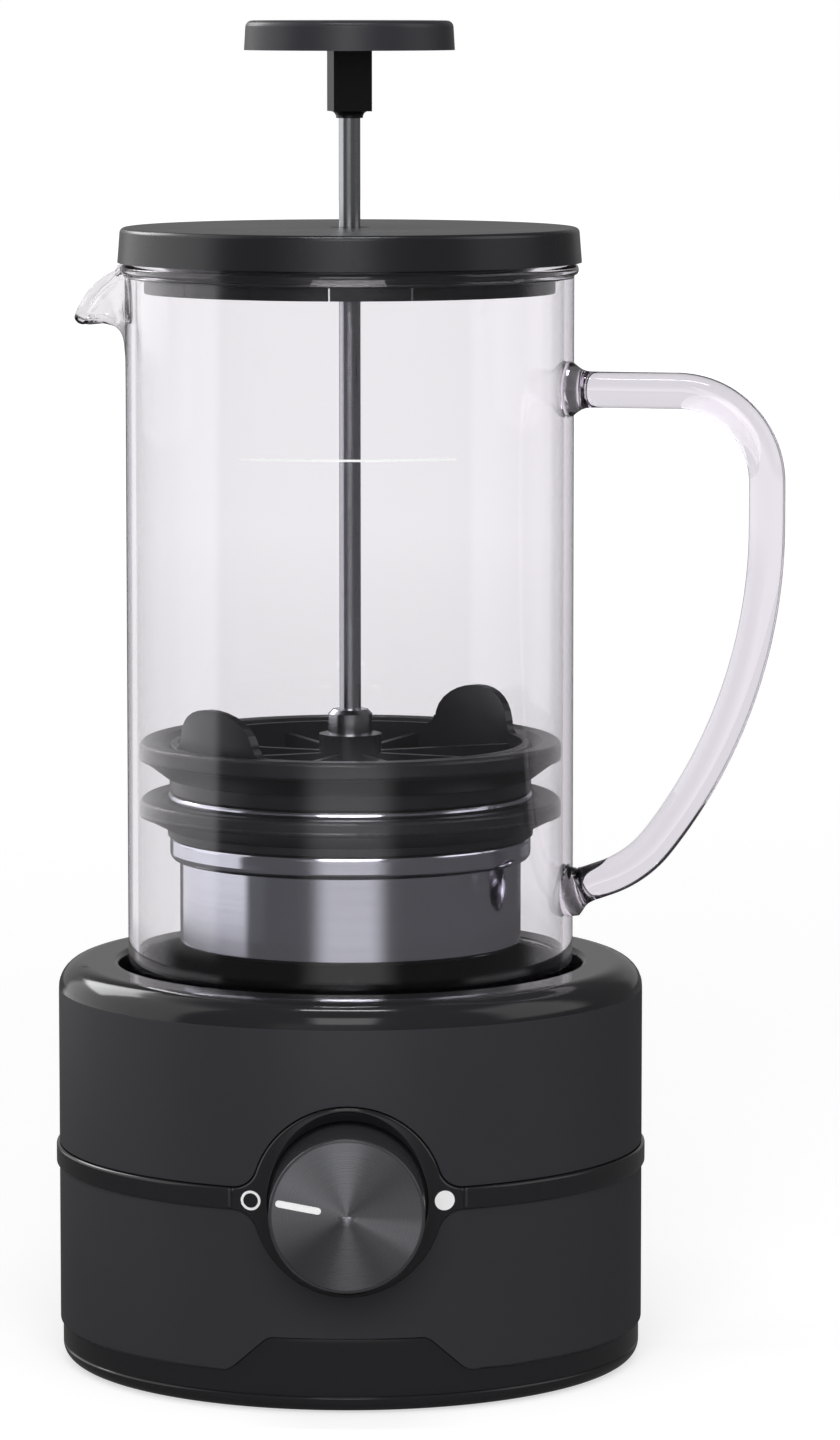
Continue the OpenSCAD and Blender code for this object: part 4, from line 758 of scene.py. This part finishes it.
def rays(tree, turn):
    """Masks of the rays that see the backdrop plainly (camera, through glass) and of those off metal and gloss.

    A reflection that leaves through the glass is a transmission ray too: it has crossed four faces or more, or
    comes back towards the camera's side.
    """
    path = put(tree, "ShaderNodeLightPath")
    once = compute(tree, "MINIMUM", path.outputs["Glossy Depth"], 1.0)
    deep = compute(tree, "GREATER_THAN", path.outputs["Transmission Depth"], 3.5)
    outside = compute(tree, "SUBTRACT", 1.0, path.outputs["Is Transmission Ray"])
    returned = window(tree, turn, -105, 105, 10)
    for mask in (outside, returned):
        deep = compute(tree, "MAXIMUM", deep, mask)
    once = both_masks(tree, once, deep)
    reflected = both_masks(tree, path.outputs["Is Glossy Ray"], once)
    seen = compute(tree, "MAXIMUM", path.outputs["Is Camera Ray"], path.outputs["Is Transmission Ray"])
    bounced = compute(tree, "ADD", once, path.outputs["Diffuse Depth"])
    plain = compute(tree, "SUBTRACT", seen, bounced, use_clamp=True)
    return plain, reflected


way = put(sky, "ShaderNodeSeparateXYZ", {0: put(sky, "ShaderNodeTexCoord").outputs["Generated"]}).outputs
turn, height = turn_round(sky, way["X"], way["Y"]), way["Z"]
plain, reflected = rays(sky, turn)
left_wall = both_masks(sky, window(sky, turn, -150, -71, 3), window(sky, height, -0.2, 0.8, 0.1))
right_wall = both_masks(sky, window(sky, turn, 64, 106, 6), window(sky, height, 0.12, 0.8, 0.06))
behind = compute(sky, "ABSOLUTE", turn)
rear_wall = both_masks(sky, window(sky, behind, 150, 200, 6), window(sky, height, -0.3, 0.35, 0.05, 0.15))
walls = compute(sky, "MAXIMUM", left_wall, right_wall)
front_wall = both_masks(sky, window(sky, turn, -30, 10, 6), window(sky, height, -0.3, 0.3, 0.1))
for wall, share in ((rear_wall, 0.25), (front_wall, 0.3)):
    walls = compute(sky, "MULTIPLY_ADD", wall, share, walls)
lit = spread(sky, walls, 0.1, 1.0)
open_air = spread(sky, plain, 0.3, 1.0)
strength = put(sky, "ShaderNodeMix", {0: reflected, 2: open_air, 3: lit}, data_type="FLOAT").outputs[0]
backdrop = put(sky, "ShaderNodeBackground", {"Color": (1, 1, 1, 1), "Strength": strength})
sky.links.new(backdrop.outputs[0], put(sky, "ShaderNodeOutputWorld").inputs[0])

floor_mesh = bpy.data.meshes.new("floor")
rim = np.linspace(0, 2 * math.pi, 96, endpoint=False)
floor_mesh.from_pydata(on_axis(8.0, rim, 0.0).tolist(), [], [list(range(96))])
floor = bpy.data.objects.new("floor", floor_mesh)
bpy.context.scene.collection.objects.link(floor)
pale, tree, shader = new_material("pale_floor", (0.55, 0.55, 0.55), 0.9)
shader.inputs["Specular IOR Level"].default_value = 0.0
spot = put(tree, "ShaderNodeTexCoord").outputs["Object"]
away = put(tree, "ShaderNodeVectorMath", {0: spot}, operation="LENGTH").outputs["Value"]
spot = put(tree, "ShaderNodeSeparateXYZ", {0: spot}).outputs
turn = turn_round(tree, spot["X"], spot["Y"])
plain, reflected = rays(tree, turn)
glow = both_masks(tree, plain, spread(tree, away, 0.64, 0.95, 0.2, 2.2))
glow = put(tree, "ShaderNodeEmission", {"Color": (1, 1, 1, 1), "Strength": glow})
whole = put(tree, "ShaderNodeAddShader", {0: shader.outputs[0], 1: glow.outputs[0]})
before_left = both_masks(tree, window(tree, turn, -150, -71, 3), window(tree, away, 0.69, 6.0, 0.04))
in_front = both_masks(tree, window(tree, turn, -20, 20, 8), window(tree, away, 0.28, 1.2, 0.1, 0.1))
in_front = compute(tree, "MULTIPLY", in_front, 0.6)
bright = compute(tree, "MAXIMUM", before_left, in_front)
dim = put(tree, "ShaderNodeEmission", {"Color": (1, 1, 1, 1), "Strength": spread(tree, bright, 0.1, 1.0)})
mixed = put(tree, "ShaderNodeMixShader", {0: reflected, 1: whole.outputs[0], 2: dim.outputs[0]})
tree.links.new(mixed.outputs[0], tree.nodes["Material Output"].inputs["Surface"])
floor_mesh.materials.append(pale)

camera = bpy.data.objects.new("camera", bpy.data.cameras.new("camera"))
bpy.context.scene.collection.objects.link(camera)
camera.location = (0.015641, -1.415699, 0.307007)
camera.rotation_euler = (math.radians(83.45), 0, 0)
camera.data.lens, camera.data.sensor_width = 158.75, 36
bpy.context.scene.camera = camera
bpy.context.scene.view_settings.view_transform = "Standard"
